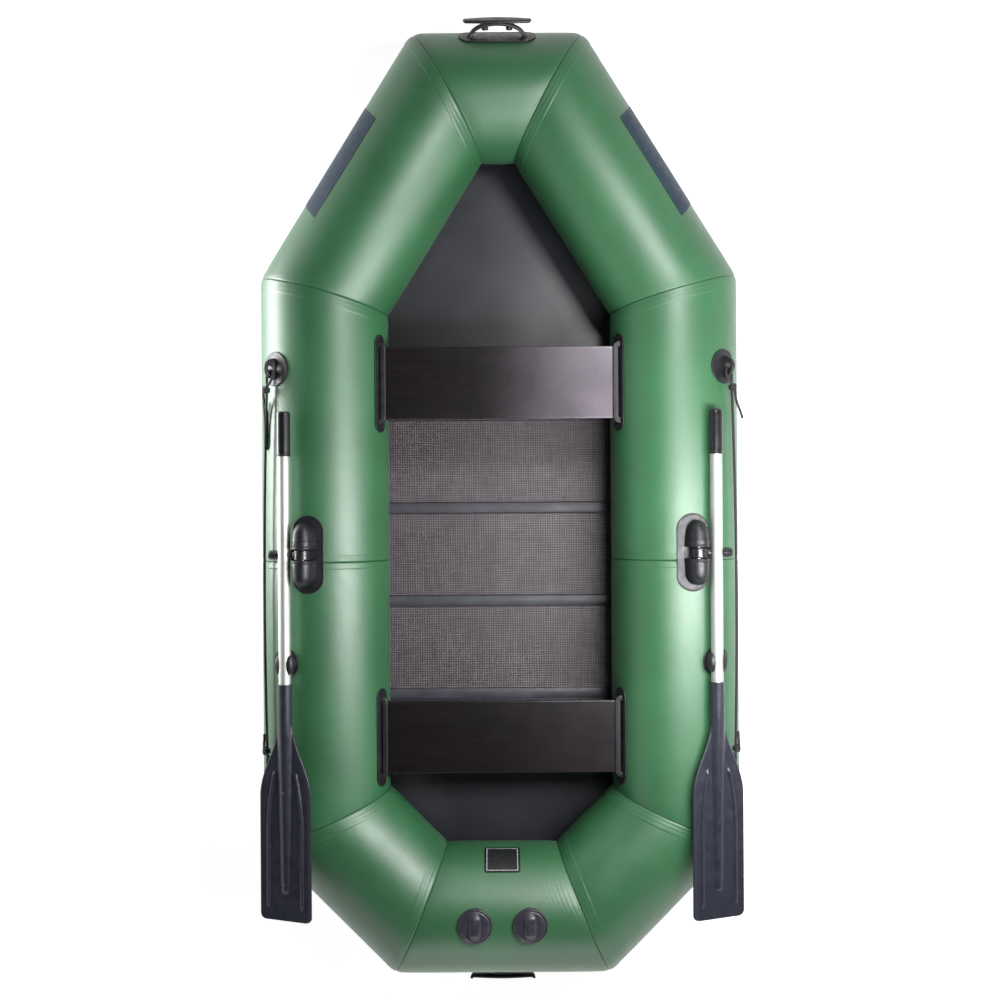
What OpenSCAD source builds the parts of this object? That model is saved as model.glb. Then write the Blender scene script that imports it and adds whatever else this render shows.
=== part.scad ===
// Inflatable rowing boat: tube ring, fabric floor with a slat mat, two plank seats,
// two oars hinged on oarlocks, lifelines, handles and valves.
// Millimetres, +Z up, +Y to the bow. Z = 0 is the underside of the floor.

/* [Hull] */
// Length over the tubes
hull_length = 2400; // [1900:10:3000]
// Width over the tubes
hull_width = 1220; // [1000:10:1500]
// Diameter of the inflated tube
tube_d = 324; // [270:2:390]
// Half length of the bow tube along its centreline
bow_half = 132; // [110:1:180]
// Half length of the stern tube along its centreline
stern_half = 209; // [150:1:260]
// Bow tube's centreline to the bow shoulder, along the boat
bow_run = 510; // [400:1:600]
// Stern tube's centreline to the stern quarter, along the boat
stern_run = 241; // [180:1:320]
// Cross seam of the side tubes behind the middle
seam_behind = 145; // [0:1:240]
// Gap between neighbouring tube panels
seam_gap = 0.2; // [0.1:0.1:1]
// Gap under everything that is glued to the fabric
glue_gap = 0.3; // [0.1:0.1:1]

/* [Floor] */
// Thickness of the floor fabric
floor_t = 2; // [1:0.5:4]
// How far the floor laps out under the tubes, past their centreline
floor_lap = 45; // [20:1:60]
// Thickness of the mat that joins the slats
mat_t = 1.5; // [1:0.5:4]
// Mat showing ahead of the first slat and behind the last one
mat_hem = 30; // [10:1:60]
// Middle of the front seat to the mat's front edge
mat_front_gap = 51; // [30:1:90]
// Mat's back edge to the middle of the rear seat
mat_back_gap = 61; // [30:1:90]
// Strip of mat between two slats
slat_strip = 30; // [15:1:60]
// Thickness of a slat
slat_t = 9; // [6:0.5:15]
// Slat end to the tube's centreline, across the boat
slat_inset = 108; // [90:1:160]

/* [Seats] */
// Width of a seat plank, fore and aft
seat_w = 182; // [140:1:240]
// Thickness of a seat plank
seat_t = 12; // [9:0.5:20]
// Height of the seat top above the underside of the floor
seat_top = 240; // [210:1:270]
// Bow shoulder to the middle of the front seat
front_seat_set = 226; // [150:1:300]
// Stern quarter to the middle of the rear seat
rear_seat_set = 207; // [190:1:300]
// Length of a seat bracket's pad
bracket_pad_l = 247; // [200:1:320]
// Height of a seat bracket's pad around the tube
bracket_pad_w = 46; // [36:1:70]
// Depth of the rail that grips the plank end
rail_depth = 10; // [6:1:50]
// Wall above and below the plank in the rail
rail_wall = 4; // [3:0.5:8]
// Gap around a plank end in its rail
seat_gap = 0.3; // [0.1:0.1:1]

/* [Oarlocks] */
// Oarlock behind the middle
lock_behind = 125; // [0:1:200]
// Axle outboard of the tube's centreline
lock_out = 35; // [20:1:60]
// Axle above the tube
lock_h = 26; // [24:1:40]
// Axle diameter
axle_d = 16; // [10:0.5:20]
// Running clearance of the ring on its axle, on the radius
axle_fit = 0.08; // [0.02:0.01:0.1]
// Length of the pad under the oarlock
lock_pad_l = 193; // [160:1:240]
// Width of the pad under the oarlock
lock_pad_w = 80; // [60:1:110]
// Length over both humps
hump_l = 158; // [130:1:200]
// Width of a hump
hump_w = 53; // [44:1:60]
// Width of the ring between the humps
ring_w = 25.6; // [20:0.1:34]
// Diameter of the ring
ring_d = 40; // [32:1:42]
// Axle to the centre of the oar shaft
pin_reach = 48.4; // [46:0.1:60]
// Slope of the pin when the oar is stowed
pin_slope = 18; // [10:1:30]
// Diameter of the pin between ring and shaft
pin_neck_d = 23; // [16:0.5:24]
// Diameter of the pin where it passes through the shaft
pin_d = 12; // [8:0.5:14]
// Height of the cap on the pin's end
cap_h = 26; // [14:1:30]

/* [Oars] */
// Diameter of the oar shaft
shaft_d = 30; // [25:0.5:34]
// Wall of the oar shaft
shaft_wall = 1.5; // [1:0.1:3]
// Oarlock to the end of the grip
grip_reach = 351; // [280:1:600]
// Length of the grip
grip_l = 110; // [90:1:140]
// Wall of the grip around the shaft
grip_wall = 2.1; // [1.5:0.1:4]
// Oarlock to the blade's tip
tip_reach = 890; // [800:1:1100]
// Length of the blade with its socket
blade_l = 574; // [480:1:640]
// Length of the socket's straight part
socket_l = 89; // [60:1:110]
// Wall of the socket around the shaft
socket_wall = 2.3; // [1.8:0.1:4]
// Length over which the blade widens
blade_taper = 189; // [140:1:230]
// Width of the blade
blade_w = 138; // [110:1:139]
// Thickness of the blade
blade_t = 5; // [3:0.5:8]
// How much shorter the blade is along its outboard edge
tip_slant = 12; // [0:1:30]
// Middle of the blade to a side rib
side_rib_x = 46; // [30:1:50]
// Blade's tip to the end of the middle rib
rib_stop = 62; // [40:1:160]
// Gap where the shaft is pushed into grip and socket
push_gap = 0.1; // [0.05:0.05:0.5]
// Oarlock to the middle of the oar clip
clip_back = 269; // [200:1:320]
// Diameter of the clip's round pad
clip_pad_d = 76; // [64:1:90]
// Diameter of the clip's round boss
clip_d = 50; // [44:1:62]

// Angle of the clip's pad outboard of the crest, degrees
clip_angle = 31; // [27:0.5:34]
// Clearance of the shaft in the clip
clip_gap = 1.2; // [1:0.1:4]

/* [Lifelines] */
// Bow shoulder to the front eye
eye_front_set = 193; // [150:1:260]
// Stern quarter to the rear eye
eye_rear_set = 132; // [100:1:200]
// Angle of the front eye down from the crest of the tube
eye_front_angle = 42.5; // [35:0.5:55]
// Angle of the rear eye down from the crest of the tube
eye_rear_angle = 45; // [43:0.5:55]
// Diameter of an eye's pad
eye_pad_d = 86; // [60:1:100]
// Height of an eye above the tube
eye_h = 33; // [28:1:35]
// Thickness of an eye
eye_t = 10; // [6:0.5:14]
// Diameter of the hole in an eye
eye_hole_d = 16; // [12:0.5:18]
// Diameter of the rope
rope_d = 6; // [5:0.5:8]
// Rope to the tube at the middle of its run
rope_off = 16; // [10:1:30]
// How far below its eyes the rope hangs, round the tube
rope_sag = 25; // [15:1:40]

/* [Handles and valves] */
// Angle of the bow handle down from the crest of the tube
bow_handle_angle = 51; // [40:1:90]
// Angle of the stern handle down from the crest of the tube
stern_handle_angle = 104; // [40:1:110]
// Length of a handle's pad
handle_pad_l = 194; // [160:1:240]
// Width of a handle's pad
handle_pad_w = 64; // [40:1:80]
// Length of a handle's grip bar
handle_bar_l = 170; // [140:1:190]
// Height of a handle above the tube
handle_h = 45; // [38:1:55]
// Thickness of a handle's grip bar
handle_bar_t = 10; // [8:1:14]
// Width of the grip bar at its middle
handle_bar_w = 32; // [24:1:40]
// Width of the grip bar at its ends
handle_bar_end = 16; // [12:1:24]
// Finger room under the middle of the arch
handle_room = 29; // [22:1:34]
// Width of the finger room at the pad
handle_span = 126; // [100:1:140]
// Thickness of the arch
arch_t = 8; // [5:0.5:12]
// Width of the arch
arch_w = 18; // [12:1:24]
// Diameter of a valve cap
valve_d = 86; // [70:1:100]
// Height of a valve cap above the tube
valve_h = 9; // [6:1:14]
// Valve to the middle of the stern tube
valve_x = 68; // [50:1:100]

/* [Plates and patches] */
// Width of the blank rating plate
plate_l = 90; // [60:1:120]
// Height of the blank rating plate around the tube
plate_w = 88; // [60:1:110]
// Length of a bow patch
patch_l = 290; // [200:1:340]
// Width of a bow patch around the tube
patch_w = 100; // [50:1:110]
// Angle of a patch down from the crest of the tube
patch_angle = 56.5; // [50:0.5:66]

// How far the patch's lower edge stands ahead of its upper edge
patch_slant = 26; // [0:1:40]

// Distance of the patch ahead of the middle of its tube
patch_ahead = 7; // [0:1:30]
// Angle of the plate down from the crest of the tube
plate_angle = 61.5; // [30:0.5:80]
// Thickness of plate and patches
label_t = 1.2; // [0.8:0.1:2]

/* [Hidden] */
$fn = 64;
pad_t = 3.7;
tube_r = tube_d / 2;
skin_r = tube_r + glue_gap;
side_x = hull_width / 2 - tube_r;
end_y = hull_length / 2 - tube_r;
axis_z = floor_t + glue_gap + tube_r;
shoulder_y = end_y - bow_run;
quarter_y = stern_run - end_y;
seam_y = -seam_behind;

// Centreline of the tube ring, clockwise from the port end of the bow tube
ring = [
  [-bow_half, end_y],
  [bow_half, end_y],
  [side_x, shoulder_y],
  [side_x, quarter_y],
  [stern_half, -end_y],
  [-stern_half, -end_y],
  [-side_x, quarter_y],
  [-side_x, shoulder_y]
];

mat_z = floor_t + glue_gap;
slat_z = mat_z + mat_t + glue_gap;

front_seat_y = shoulder_y - front_seat_set;
rear_seat_y = quarter_y + rear_seat_set;
mat_front = front_seat_y - mat_front_gap;
mat_back = rear_seat_y + mat_back_gap;
slat_w = (mat_front - mat_back - 2 * mat_hem - 2 * slat_strip) / 3;
slat_pitch = slat_w + slat_strip;
slat_front_y = mat_front - mat_hem;
slat_half = side_x - slat_inset;
seat_low = seat_top - seat_t;
seat_angle = acos((seat_low + seat_t / 2 - axis_z) / tube_r);
seat_end = side_x - sqrt(pow(skin_r, 2) - pow(seat_low - axis_z, 2)) - 3;
rail_l = seat_w + 2 * seat_gap + 24;

lock_y = -lock_behind;
axle_x = side_x + lock_out;
axle_z = axis_z + sqrt(pow(tube_r + lock_h, 2) - pow(lock_out, 2));
lock_angle = atan2(lock_out, axle_z - axis_z);
axle_l = hump_l - 58;
hump_gap = 1;
pin_fit = 0.1;
shaft_r = shaft_d / 2;
shaft_x = axle_x + pin_reach * cos(pin_slope);
shaft_z = axle_z - pin_reach * sin(pin_slope);
shaft_angle = atan2(shaft_x - side_x, shaft_z - axis_z);
shaft_lift = norm([shaft_x - side_x, shaft_z - axis_z]);
blade_start = blade_l - tip_reach;
shaft_tail = blade_start - socket_l + 10;
clip_y = lock_y - clip_back;

eye_hole_h = eye_h - 17;
eye_front_y = shoulder_y - eye_front_set;
eye_rear_y = quarter_y + eye_rear_set;

function unit(v) = v / norm(v);
function heading(i) = unit(ring[(i + 1) % 8] - ring[i]);
function outward(i) = [-heading(i).y, heading(i).x];
function mitre(i) = unit(outward((i + 7) % 8) + outward(i));
function corner(i, d) = ring[i] + mitre(i) * d / (mitre(i) * outward(i));

// Straight round tube between two cuts through points p and q
module tube_panel(p, q, cut_p, cut_q) {
  along = unit(q - p);
  side = [-along.y, along.x];
  step = along * seam_gap / 2;
  a = cut_p * (tube_r + 2) / (cut_p * side);
  b = cut_q * (tube_r + 2) / (cut_q * side);
  intersection() {
    translate([p.x, p.y, axis_z])
      rotate([0, 0, atan2(along.y, along.x)])
        rotate([0, 90, 0])
          translate([0, 0, -tube_r])
            cylinder(r = tube_r, h = norm(q - p) + 2 * tube_r);
    linear_extrude(height = 2 * axis_z)
      polygon([p + a + step, p - a + step, q - b - step, q + b - step]);
  }
}

// Whole panel number i of the ring
module ring_panel(i) {
  color([0.29, 0.51, 0.36])
    tube_panel(ring[i], ring[(i + 1) % 8], mitre(i), mitre((i + 1) % 8));
}

// Starboard side tube ahead of its cross seam
module side_front() {
  color([0.29, 0.51, 0.36])
    tube_panel(ring[2], [side_x, seam_y], mitre(2), [1, 0]);
}

// Starboard side tube behind its cross seam
module side_rear() {
  color([0.29, 0.51, 0.36])
    tube_panel([side_x, seam_y], ring[3], [1, 0], mitre(3));
}

module port() {
  mirror([1, 0, 0])
    children();
}

module rod_y(r, a, b) {
  translate([0, a, 0])
    rotate([-90, 0, 0])
      cylinder(r = r, h = b - a);
}

// Seen from above: bar with round ends, long side along Y
module stadium(l, w) {
  for (s = [-1, 1])
    translate([0, s * (l - w) / 2])
      circle(d = w);
  square([w, l - w], center = true);
}

module round_rect(x, y, r) {
  for (i = [-1, 1], j = [-1, 1])
    translate([i * (x / 2 - r), j * (y / 2 - r)])
      circle(r = r);
  square([x - 2 * r, y], center = true);
  square([x, y - 2 * r], center = true);
}

// Local frame on the starboard side tube: +Z out of the tube, origin on its surface
module on_side(y, angle) {
  translate([side_x, y, axis_z])
    rotate([0, angle, 0])
      translate([0, 0, tube_r])
        children();
}

// Removes the side tube with its glue gap from the first child
module fit_to_side() {
  difference() {
    children();
    translate([side_x, 0, axis_z])
      rod_y(skin_r, -hull_length / 2, hull_length / 2);
  }
}

// Sheet of thickness t lying on the side tube, its outline is the 2-D child
module side_sheet(y, angle, t) {
  fit_to_side()
    intersection() {
      on_side(y, angle)
        translate([0, 0, -tube_r * 0.5])
          linear_extrude(height = tube_r * 0.5 + 12)
            children();
      translate([side_x, 0, axis_z])
        rod_y(skin_r + t, -hull_length / 2, hull_length / 2);
    }
}

// Local frame on the bow tube, +Z out of the tube
module on_bow(angle) {
  translate([0, end_y, axis_z])
    rotate([-angle, 0, 0])
      translate([0, 0, tube_r])
        children();
}

module rod_x(r, l) {
  rotate([0, 90, 0])
    cylinder(r = r, h = l, center = true);
}

// Sheet of thickness t lying on the bow tube, its outline is the 2-D child
module bow_sheet(angle, t) {
  difference() {
    intersection() {
      on_bow(angle)
        translate([0, 0, -tube_r * 0.5])
          linear_extrude(height = tube_r * 0.5 + 12)
            children();
      translate([0, end_y, axis_z])
        rod_x(skin_r + t, 600);
    }
    translate([0, end_y, axis_z])
      rod_x(skin_r, 700);
  }
}

module aft() {
  mirror([0, 1, 0])
    children();
}

module bow_tube() {
  ring_panel(0);
}

module bow_right_tube() {
  ring_panel(1);
}

module bow_left_tube() {
  ring_panel(7);
}

module side_front_right_tube() {
  side_front();
}

module side_front_left_tube() {
  port()
    side_front();
}

module side_rear_right_tube() {
  side_rear();
}

module side_rear_left_tube() {
  port()
    side_rear();
}

module stern_right_tube() {
  ring_panel(3);
}

module stern_left_tube() {
  ring_panel(5);
}

module stern_tube() {
  ring_panel(4);
}

// Fabric floor, glued under the whole ring
module floor_sheet() {
  color([0.3, 0.3, 0.33])
    linear_extrude(height = floor_t)
      polygon([for (i = [0:7]) corner(i, floor_lap)]);
}

// Mat under the slats, with a raised strip between and beyond them
module slat_mat() {
  color([0.33, 0.32, 0.36]) {
    translate([-slat_half, mat_back, mat_z])
      cube([2 * slat_half, mat_front - mat_back, mat_t]);
    for (k = [0:3])
      translate([-slat_half, slat_front_y + glue_gap - k * slat_pitch, mat_z])
        cube([2 * slat_half, slat_strip - 2 * glue_gap, mat_t + 4]);
  }
}

// Plywood slat number k, counted from the bow
module floor_slat(k) {
  color([0.45, 0.42, 0.43])
    translate([0, slat_front_y - slat_w / 2 - k * slat_pitch, slat_z])
      linear_extrude(height = slat_t)
        round_rect(2 * slat_half - 4, slat_w, 12);
}

module floor_slat_front() {
  floor_slat(0);
}

module floor_slat_middle() {
  floor_slat(1);
}

module floor_slat_rear() {
  floor_slat(2);
}

// Plywood seat plank centred at y
module seat(y) {
  color([0.2, 0.18, 0.2])
    translate([0, y, seat_low])
      linear_extrude(height = seat_t)
        round_rect(2 * seat_end, seat_w, 10);
}

module front_seat() {
  seat(front_seat_y);
}

module rear_seat() {
  seat(rear_seat_y);
}

// Pad with a rail that holds the starboard end of a plank
module seat_bracket(y) {
  depth = rail_depth + 26;
  difference() {
    union() {
      side_sheet(y, -seat_angle, pad_t)
        stadium(bracket_pad_l, bracket_pad_w);
      fit_to_side()
        translate([seat_end - rail_depth + depth / 2, y, seat_low - seat_gap - rail_wall])
          linear_extrude(height = seat_t + 2 * (seat_gap + rail_wall))
            round_rect(depth, rail_l, 18);
    }
    translate([seat_end - 200 + seat_gap, y, seat_low - seat_gap])
      linear_extrude(height = seat_t + 2 * seat_gap)
        round_rect(400, seat_w + 2 * seat_gap, 10);
  }
}

module seat_bracket_pair(y) {
  color([0.11, 0.11, 0.12]) {
    seat_bracket(y);
    port()
      seat_bracket(y);
  }
}

module front_seat_brackets() {
  seat_bracket_pair(front_seat_y);
}

module rear_seat_brackets() {
  seat_bracket_pair(rear_seat_y);
}

// Pad with two humps that hold the axle
module lock_base() {
  r = hump_w / 2;
  inner = ring_w / 2 + hump_gap;
  difference() {
    union() {
      side_sheet(lock_y, lock_angle - 2, pad_t)
        stadium(lock_pad_l, lock_pad_w);
      fit_to_side()
        on_side(lock_y, lock_angle)
          translate([0, 0, lock_h])
            for (s = [-1, 1])
              scale([1, s, 1]) {
                rod_y(r, inner, hump_l / 2 - r);
                translate([0, hump_l / 2 - r, 0])
                  sphere(r = r);
                translate([0, hump_l / 2 - r, -lock_h - 6])
                  cylinder(r = r, h = lock_h + 6);
                translate([-r, inner, -lock_h - 6])
                  cube([2 * r, hump_l / 2 - r - inner, lock_h + 6]);
              }
    }
    translate([axle_x, lock_y, axle_z])
      rod_y(axle_d / 2 + pin_fit, -axle_l / 2 - 0.2, axle_l / 2 + 0.2);
  }
}

module oarlock_base_right() {
  color([0.11, 0.11, 0.12])
    lock_base();
}

module oarlock_base_left() {
  color([0.11, 0.11, 0.12])
    port()
      lock_base();
}

module lock_axle() {
  color([0.7, 0.71, 0.73])
    translate([axle_x, lock_y, axle_z])
      rod_y(axle_d / 2, -axle_l / 2, axle_l / 2);
}

module oarlock_axle_right() {
  lock_axle();
}

module oarlock_axle_left() {
  port()
    lock_axle();
}

// Frame of the pin: origin on the axle, +X along the pin, +Z the way the oar lifts
module on_pin() {
  translate([axle_x, lock_y, axle_z])
    rotate([0, pin_slope, 0])
      children();
}

// Ring on the axle with the pin that carries the oar
module lock_swivel() {
  color([0.11, 0.11, 0.12])
    on_pin()
      difference() {
        union() {
          rod_y(ring_d / 2, -ring_w / 2, ring_w / 2);
          difference() {
            rotate([0, 90, 0])
              cylinder(d = pin_neck_d, h = pin_reach);
            translate([pin_reach, 0, 0])
              rod_y(shaft_r + glue_gap, -40, 40);
          }
          rotate([0, 90, 0])
            cylinder(d = pin_d, h = pin_reach + shaft_r + 12);
        }
        rod_y(axle_d / 2 + axle_fit, -ring_w, ring_w);
      }
}

module oarlock_swivel_right() {
  lock_swivel();
}

module oarlock_swivel_left() {
  port()
    lock_swivel();
}

// Cap that keeps the shaft on the pin
module pin_cap() {
  flat = pin_reach + shaft_r + glue_gap;
  color([0.11, 0.11, 0.12])
    on_pin()
      difference() {
        rotate([0, 90, 0]) {
          translate([0, 0, flat - 8])
            cylinder(d = pin_neck_d, h = cap_h + 4);
          translate([0, 0, flat + cap_h - 4])
            cylinder(d1 = pin_neck_d, d2 = pin_neck_d - 8, h = 4);
        }
        translate([pin_reach, 0, 0])
          rod_y(shaft_r + glue_gap, -40, 40);
        rotate([0, 90, 0])
          cylinder(d = pin_d + 2 * pin_fit, h = pin_reach + shaft_r + 12.3);
      }
}

module oarlock_cap_right() {
  pin_cap();
}

module oarlock_cap_left() {
  port()
    pin_cap();
}

// Frame of the oar: origin on the shaft beside the oarlock, blade towards -Y
module on_shaft() {
  on_pin()
    translate([pin_reach, 0, 0])
      children();
}

module shaft() {
  color([0.9, 0.91, 0.92])
    on_shaft()
      difference() {
        rod_y(shaft_r, shaft_tail, grip_reach - 10);
        rod_y(shaft_r - shaft_wall, shaft_tail - 5, grip_reach);
        rotate([0, 90, 0])
          cylinder(d = pin_d + 2 * pin_fit, h = 3 * shaft_r, center = true);
      }
}

module oar_shaft_right() {
  shaft();
}

module oar_shaft_left() {
  port()
    shaft();
}

module grip() {
  r = shaft_r + push_gap + grip_wall;
  color([0.1, 0.1, 0.11])
    on_shaft()
      difference() {
        union() {
          rod_y(r, grip_reach - grip_l, grip_reach - 5);
          translate([0, grip_reach - 5, 0])
            rotate([-90, 0, 0])
              cylinder(r1 = r, r2 = r - 5, h = 5);
        }
        rod_y(shaft_r + push_gap, grip_reach - grip_l - 1, grip_reach - 9.8);
      }
}

module oar_grip_right() {
  grip();
}

module oar_grip_left() {
  port()
    grip();
}

// Outline of the blade from the socket to the tip
module blade_outline() {
  neck = shaft_r + push_gap + socket_wall;
  half = blade_w / 2;
  r = 14;
  steps = 12;
  flare = [for (i = [0:steps]) [
    neck + (half - neck) * (1 - cos(180 * i / steps)) / 2,
    blade_start - socket_l - blade_taper * i / steps
  ]];
  polygon(concat(
    flare,
    [
      [half, r + tip_slant - tip_reach],
      [half - r, tip_slant - tip_reach],
      [r - half, -tip_reach],
      [-half, r - tip_reach]
    ],
    [for (i = [steps:-1:0]) [-flare[i].x, flare[i].y]]
  ));
  translate([half - r, r + tip_slant - tip_reach])
    circle(r = r);
  translate([r - half, r - tip_reach])
    circle(r = r);
}

// Blade with its socket, a tapered middle rib and two side ribs
module blade() {
  r = shaft_r + push_gap + socket_wall;
  rib_end = rib_stop - tip_reach;
  color([0.16, 0.16, 0.2])
    on_shaft()
      difference() {
        union() {
          translate([0, 0, -blade_t / 2])
            linear_extrude(height = blade_t)
              blade_outline();
          rod_y(r, blade_start - socket_l - 1, blade_start);
          translate([0, rib_end, 0])
            rotate([-90, 0, 0])
              cylinder(r1 = 7, r2 = r, h = blade_start - socket_l - rib_end);
          for (s = [-1, 1])
            translate([s * side_rib_x - 2, 60 - tip_reach, -5])
              cube([4, blade_l - socket_l - blade_taper - 70, 10]);
        }
        rod_y(shaft_r + push_gap, shaft_tail - 0.2, blade_start + 1);
      }
}

module oar_blade_right() {
  blade();
}

module oar_blade_left() {
  port()
    blade();
}

// Round boss with a channel for the stowed shaft, open the way the oar lifts
module clip() {
  room = shaft_r + clip_gap;
  difference() {
    union() {
      side_sheet(clip_y, clip_angle, pad_t)
        circle(d = clip_pad_d);
      fit_to_side()
        translate([shaft_x, clip_y, shaft_z])
          rotate([0, pin_slope, 0])
            translate([0, 0, -shaft_r - 22])
              cylinder(d = clip_d, h = shaft_r + 27);
    }
    translate([shaft_x, clip_y, shaft_z])
      rotate([0, pin_slope, 0]) {
        rod_y(room, -60, 60);
        translate([-room, -60, 0])
          cube([2 * room, 120, 60]);
      }
  }
}

module oar_clips() {
  color([0.11, 0.11, 0.12]) {
    clip();
    port()
      clip();
  }
}

// Round pad with a pierced lug for the lifeline
module eye(y, angle) {
  lug_r = 25;
  difference() {
    union() {
      side_sheet(y, angle, pad_t)
        circle(d = eye_pad_d);
      fit_to_side()
        on_side(y, angle)
          rotate([90, 0, 90])
            translate([0, 0, -eye_t / 2])
              linear_extrude(height = eye_t) {
                translate([0, eye_h - lug_r])
                  circle(r = lug_r);
                translate([-lug_r, -4])
                  square([2 * lug_r, eye_h - lug_r + 4]);
              }
    }
    on_side(y, angle)
      translate([0, 0, eye_hole_h])
        rotate([0, 90, 0])
          cylinder(d = eye_hole_d, h = 3 * eye_t, center = true);
  }
}

module eye_pair() {
  color([0.11, 0.11, 0.12]) {
    eye(eye_front_y, eye_front_angle);
    eye(eye_rear_y, eye_rear_angle);
  }
}

module lifeline_eyes_right() {
  eye_pair();
}

module lifeline_eyes_left() {
  port()
    eye_pair();
}

// Point at height h above the side tube, angle a down from its crest
function on_tube(y, a, h) = [
  side_x + (tube_r + h) * sin(a),
  y,
  axis_z + (tube_r + h) * cos(a)
];

// Rope at an eye: steps along the run, steps round the tube, height.
// It comes in along the run, passes through the hole and crosses over itself.
hook = [
  [74, 15, 15], [56, 14.5, 15], [38, 13.5, 15], [22, 12.5, 16], [12, 11, 16],
  [5.2, 8, 16], [4.7, 0, 16], [5.2, -8, 16], [12, -11, 17], [22, -12, 18],
  [34, -8, 21], [45, 2, 24.5], [55, 12, 25], [65, 21, 21]
];
free_end = [[80, 26, 20], [96, 35, 21], [112, 45, 23], [128, 55, 25]];
short_end = [[78, 24, 18], [92, 26, 17]];
loop_end = [
  [78, 25, 16], [100, 26, 9], [130, 28, 5], [160, 30, 4], [182, 31, 4],
  [194, 34, 4], [198, 38, 4], [192, 42, 4], [176, 43, 4], [150, 42, 5],
  [120, 40, 6], [96, 37, 9], [80, 35, 12]
];

function on_eye(y, a, s, steps) = [
  for (p = steps)
    on_tube(y + s * p[0], a + p[1] / (tube_r + p[2]) * 180 / PI, p[2] + eye_hole_h - 16)
];
function turned(list) = [for (i = [len(list) - 1:-1:0]) list[i]];

rope_steps = 14;
rope_turn = 180 / PI / (tube_r + hook[0][2]);
rope_run = [
  for (i = [1:rope_steps - 1])
    let(
      u = i / rope_steps,
      hang = 4 * u * (1 - u),
      y = eye_front_y - hook[0][0] + (eye_rear_y - eye_front_y + 2 * hook[0][0]) * u,
      a = eye_front_angle + (eye_rear_angle - eye_front_angle) * u,
      h = hook[0][2] + eye_hole_h - 16
    )
    on_tube(y, a + rope_turn * (hook[0][1] + (rope_sag - hook[0][1]) * hang),
      h + (rope_off - h) * hang)
];
function rope_path(front_end) = concat(
  turned(on_eye(eye_front_y, eye_front_angle, -1, concat(hook, front_end))),
  rope_run,
  on_eye(eye_rear_y, eye_rear_angle, 1, concat(hook, short_end))
);

// Eight-sided rope along a path on the side tube
module rope(path) {
  n = len(path);
  sides = 8;
  out = unit([sin(47), 0, cos(47)]);
  rings = [
    for (i = [0:n - 1])
      let(
        t = unit(path[min(i + 1, n - 1)] - path[max(i - 1, 0)]),
        u = unit(cross(t, out)),
        v = cross(t, u)
      )
      for (k = [0:sides - 1])
        path[i] + rope_d / 2 * (cos(360 * k / sides) * u + sin(360 * k / sides) * v)
  ];
  walls = [
    for (i = [0:n - 2], k = [0:sides - 1])
      let(m = (k + 1) % sides)
      each [
        [i * sides + k, (i + 1) * sides + k, (i + 1) * sides + m],
        [i * sides + k, (i + 1) * sides + m, i * sides + m]
      ]
  ];
  first = [for (k = [0:sides - 1]) k];
  last = [for (k = [sides - 1:-1:0]) (n - 1) * sides + k];
  polyhedron(points = rings, faces = concat(walls, [first], [last]), convexity = 6);
}

module lifeline_right() {
  color([0.08, 0.08, 0.09])
    rope(rope_path(free_end));
}

module lifeline_left() {
  color([0.08, 0.08, 0.09])
    port()
      rope(rope_path(loop_end));
}

// Grip bar seen from outside: widest at its middle, with round ends
module bar_outline() {
  reach = (handle_bar_l - handle_bar_end) / 2;
  swell = (handle_bar_w - handle_bar_end) / 2;
  big = (pow(reach, 2) + pow(swell, 2)) / (2 * swell);
  intersection() {
    translate([0, handle_bar_w / 2 - big])
      circle(r = big, $fn = 360);
    translate([0, big - handle_bar_w / 2])
      circle(r = big, $fn = 360);
    square([2 * reach, 2 * handle_bar_w], center = true);
  }
  for (s = [-1, 1])
    translate([s * reach, 0])
      circle(d = handle_bar_end);
}

// Half ellipse of the given half width and height, standing on the tube
module arch_outline(w, h) {
  steps = 24;
  polygon(concat(
    [[w, -12]],
    [for (i = [0:steps]) [w * cos(180 * i / steps), h * sin(180 * i / steps)]],
    [[-w, -12]]
  ));
}

// Moulded handle on the bow tube: pad, arch and overhanging grip bar
module handle(angle) {
  bow_sheet(angle, pad_t)
    rotate(90)
      stadium(handle_pad_l, handle_pad_w);
  difference() {
    union() {
      on_bow(angle)
        translate([0, arch_w / 2, 0])
          rotate([90, 0, 0])
            linear_extrude(height = arch_w)
              difference() {
                arch_outline(handle_span / 2 + arch_t, handle_room + arch_t);
                arch_outline(handle_span / 2, handle_room);
              }
      on_bow(angle)
        translate([0, 0, handle_h - handle_bar_t])
          linear_extrude(height = handle_bar_t)
            bar_outline();
    }
    translate([0, end_y, axis_z])
      rod_x(skin_r, 700);
  }
}

module bow_handle() {
  color([0.11, 0.11, 0.12])
    handle(bow_handle_angle);
}

module stern_handle() {
  color([0.11, 0.11, 0.12])
    aft()
      handle(stern_handle_angle);
}

// Round cap with a finger bar on the stern tube
module valve_cap(x) {
  difference() {
    union() {
      translate([x, -end_y, axis_z + tube_r - 8])
        cylinder(d = valve_d, h = valve_h + 8);
      translate([x, -end_y, axis_z + tube_r])
        linear_extrude(height = valve_h + 9)
          stadium(64, 31);
    }
    translate([0, -end_y, axis_z])
      rod_x(skin_r, 700);
  }
}

module valve_caps() {
  color([0.12, 0.12, 0.13]) {
    valve_cap(valve_x);
    valve_cap(-valve_x);
  }
}

// Blank rating plate on the inner side of the stern tube
module rating_plate() {
  color([0.1, 0.1, 0.11])
    aft()
      bow_sheet(-plate_angle, label_t)
        round_rect(plate_l, plate_w, 5);
}

// Outline of a patch, its ends cut on the slant
module patch_outline() {
  x = patch_l / 2;
  y = patch_w / 2;
  lean = patch_slant / 2;
  polygon([[lean - x, -y], [x + lean, -y], [x - lean, y], [-x - lean, y]]);
}

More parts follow.
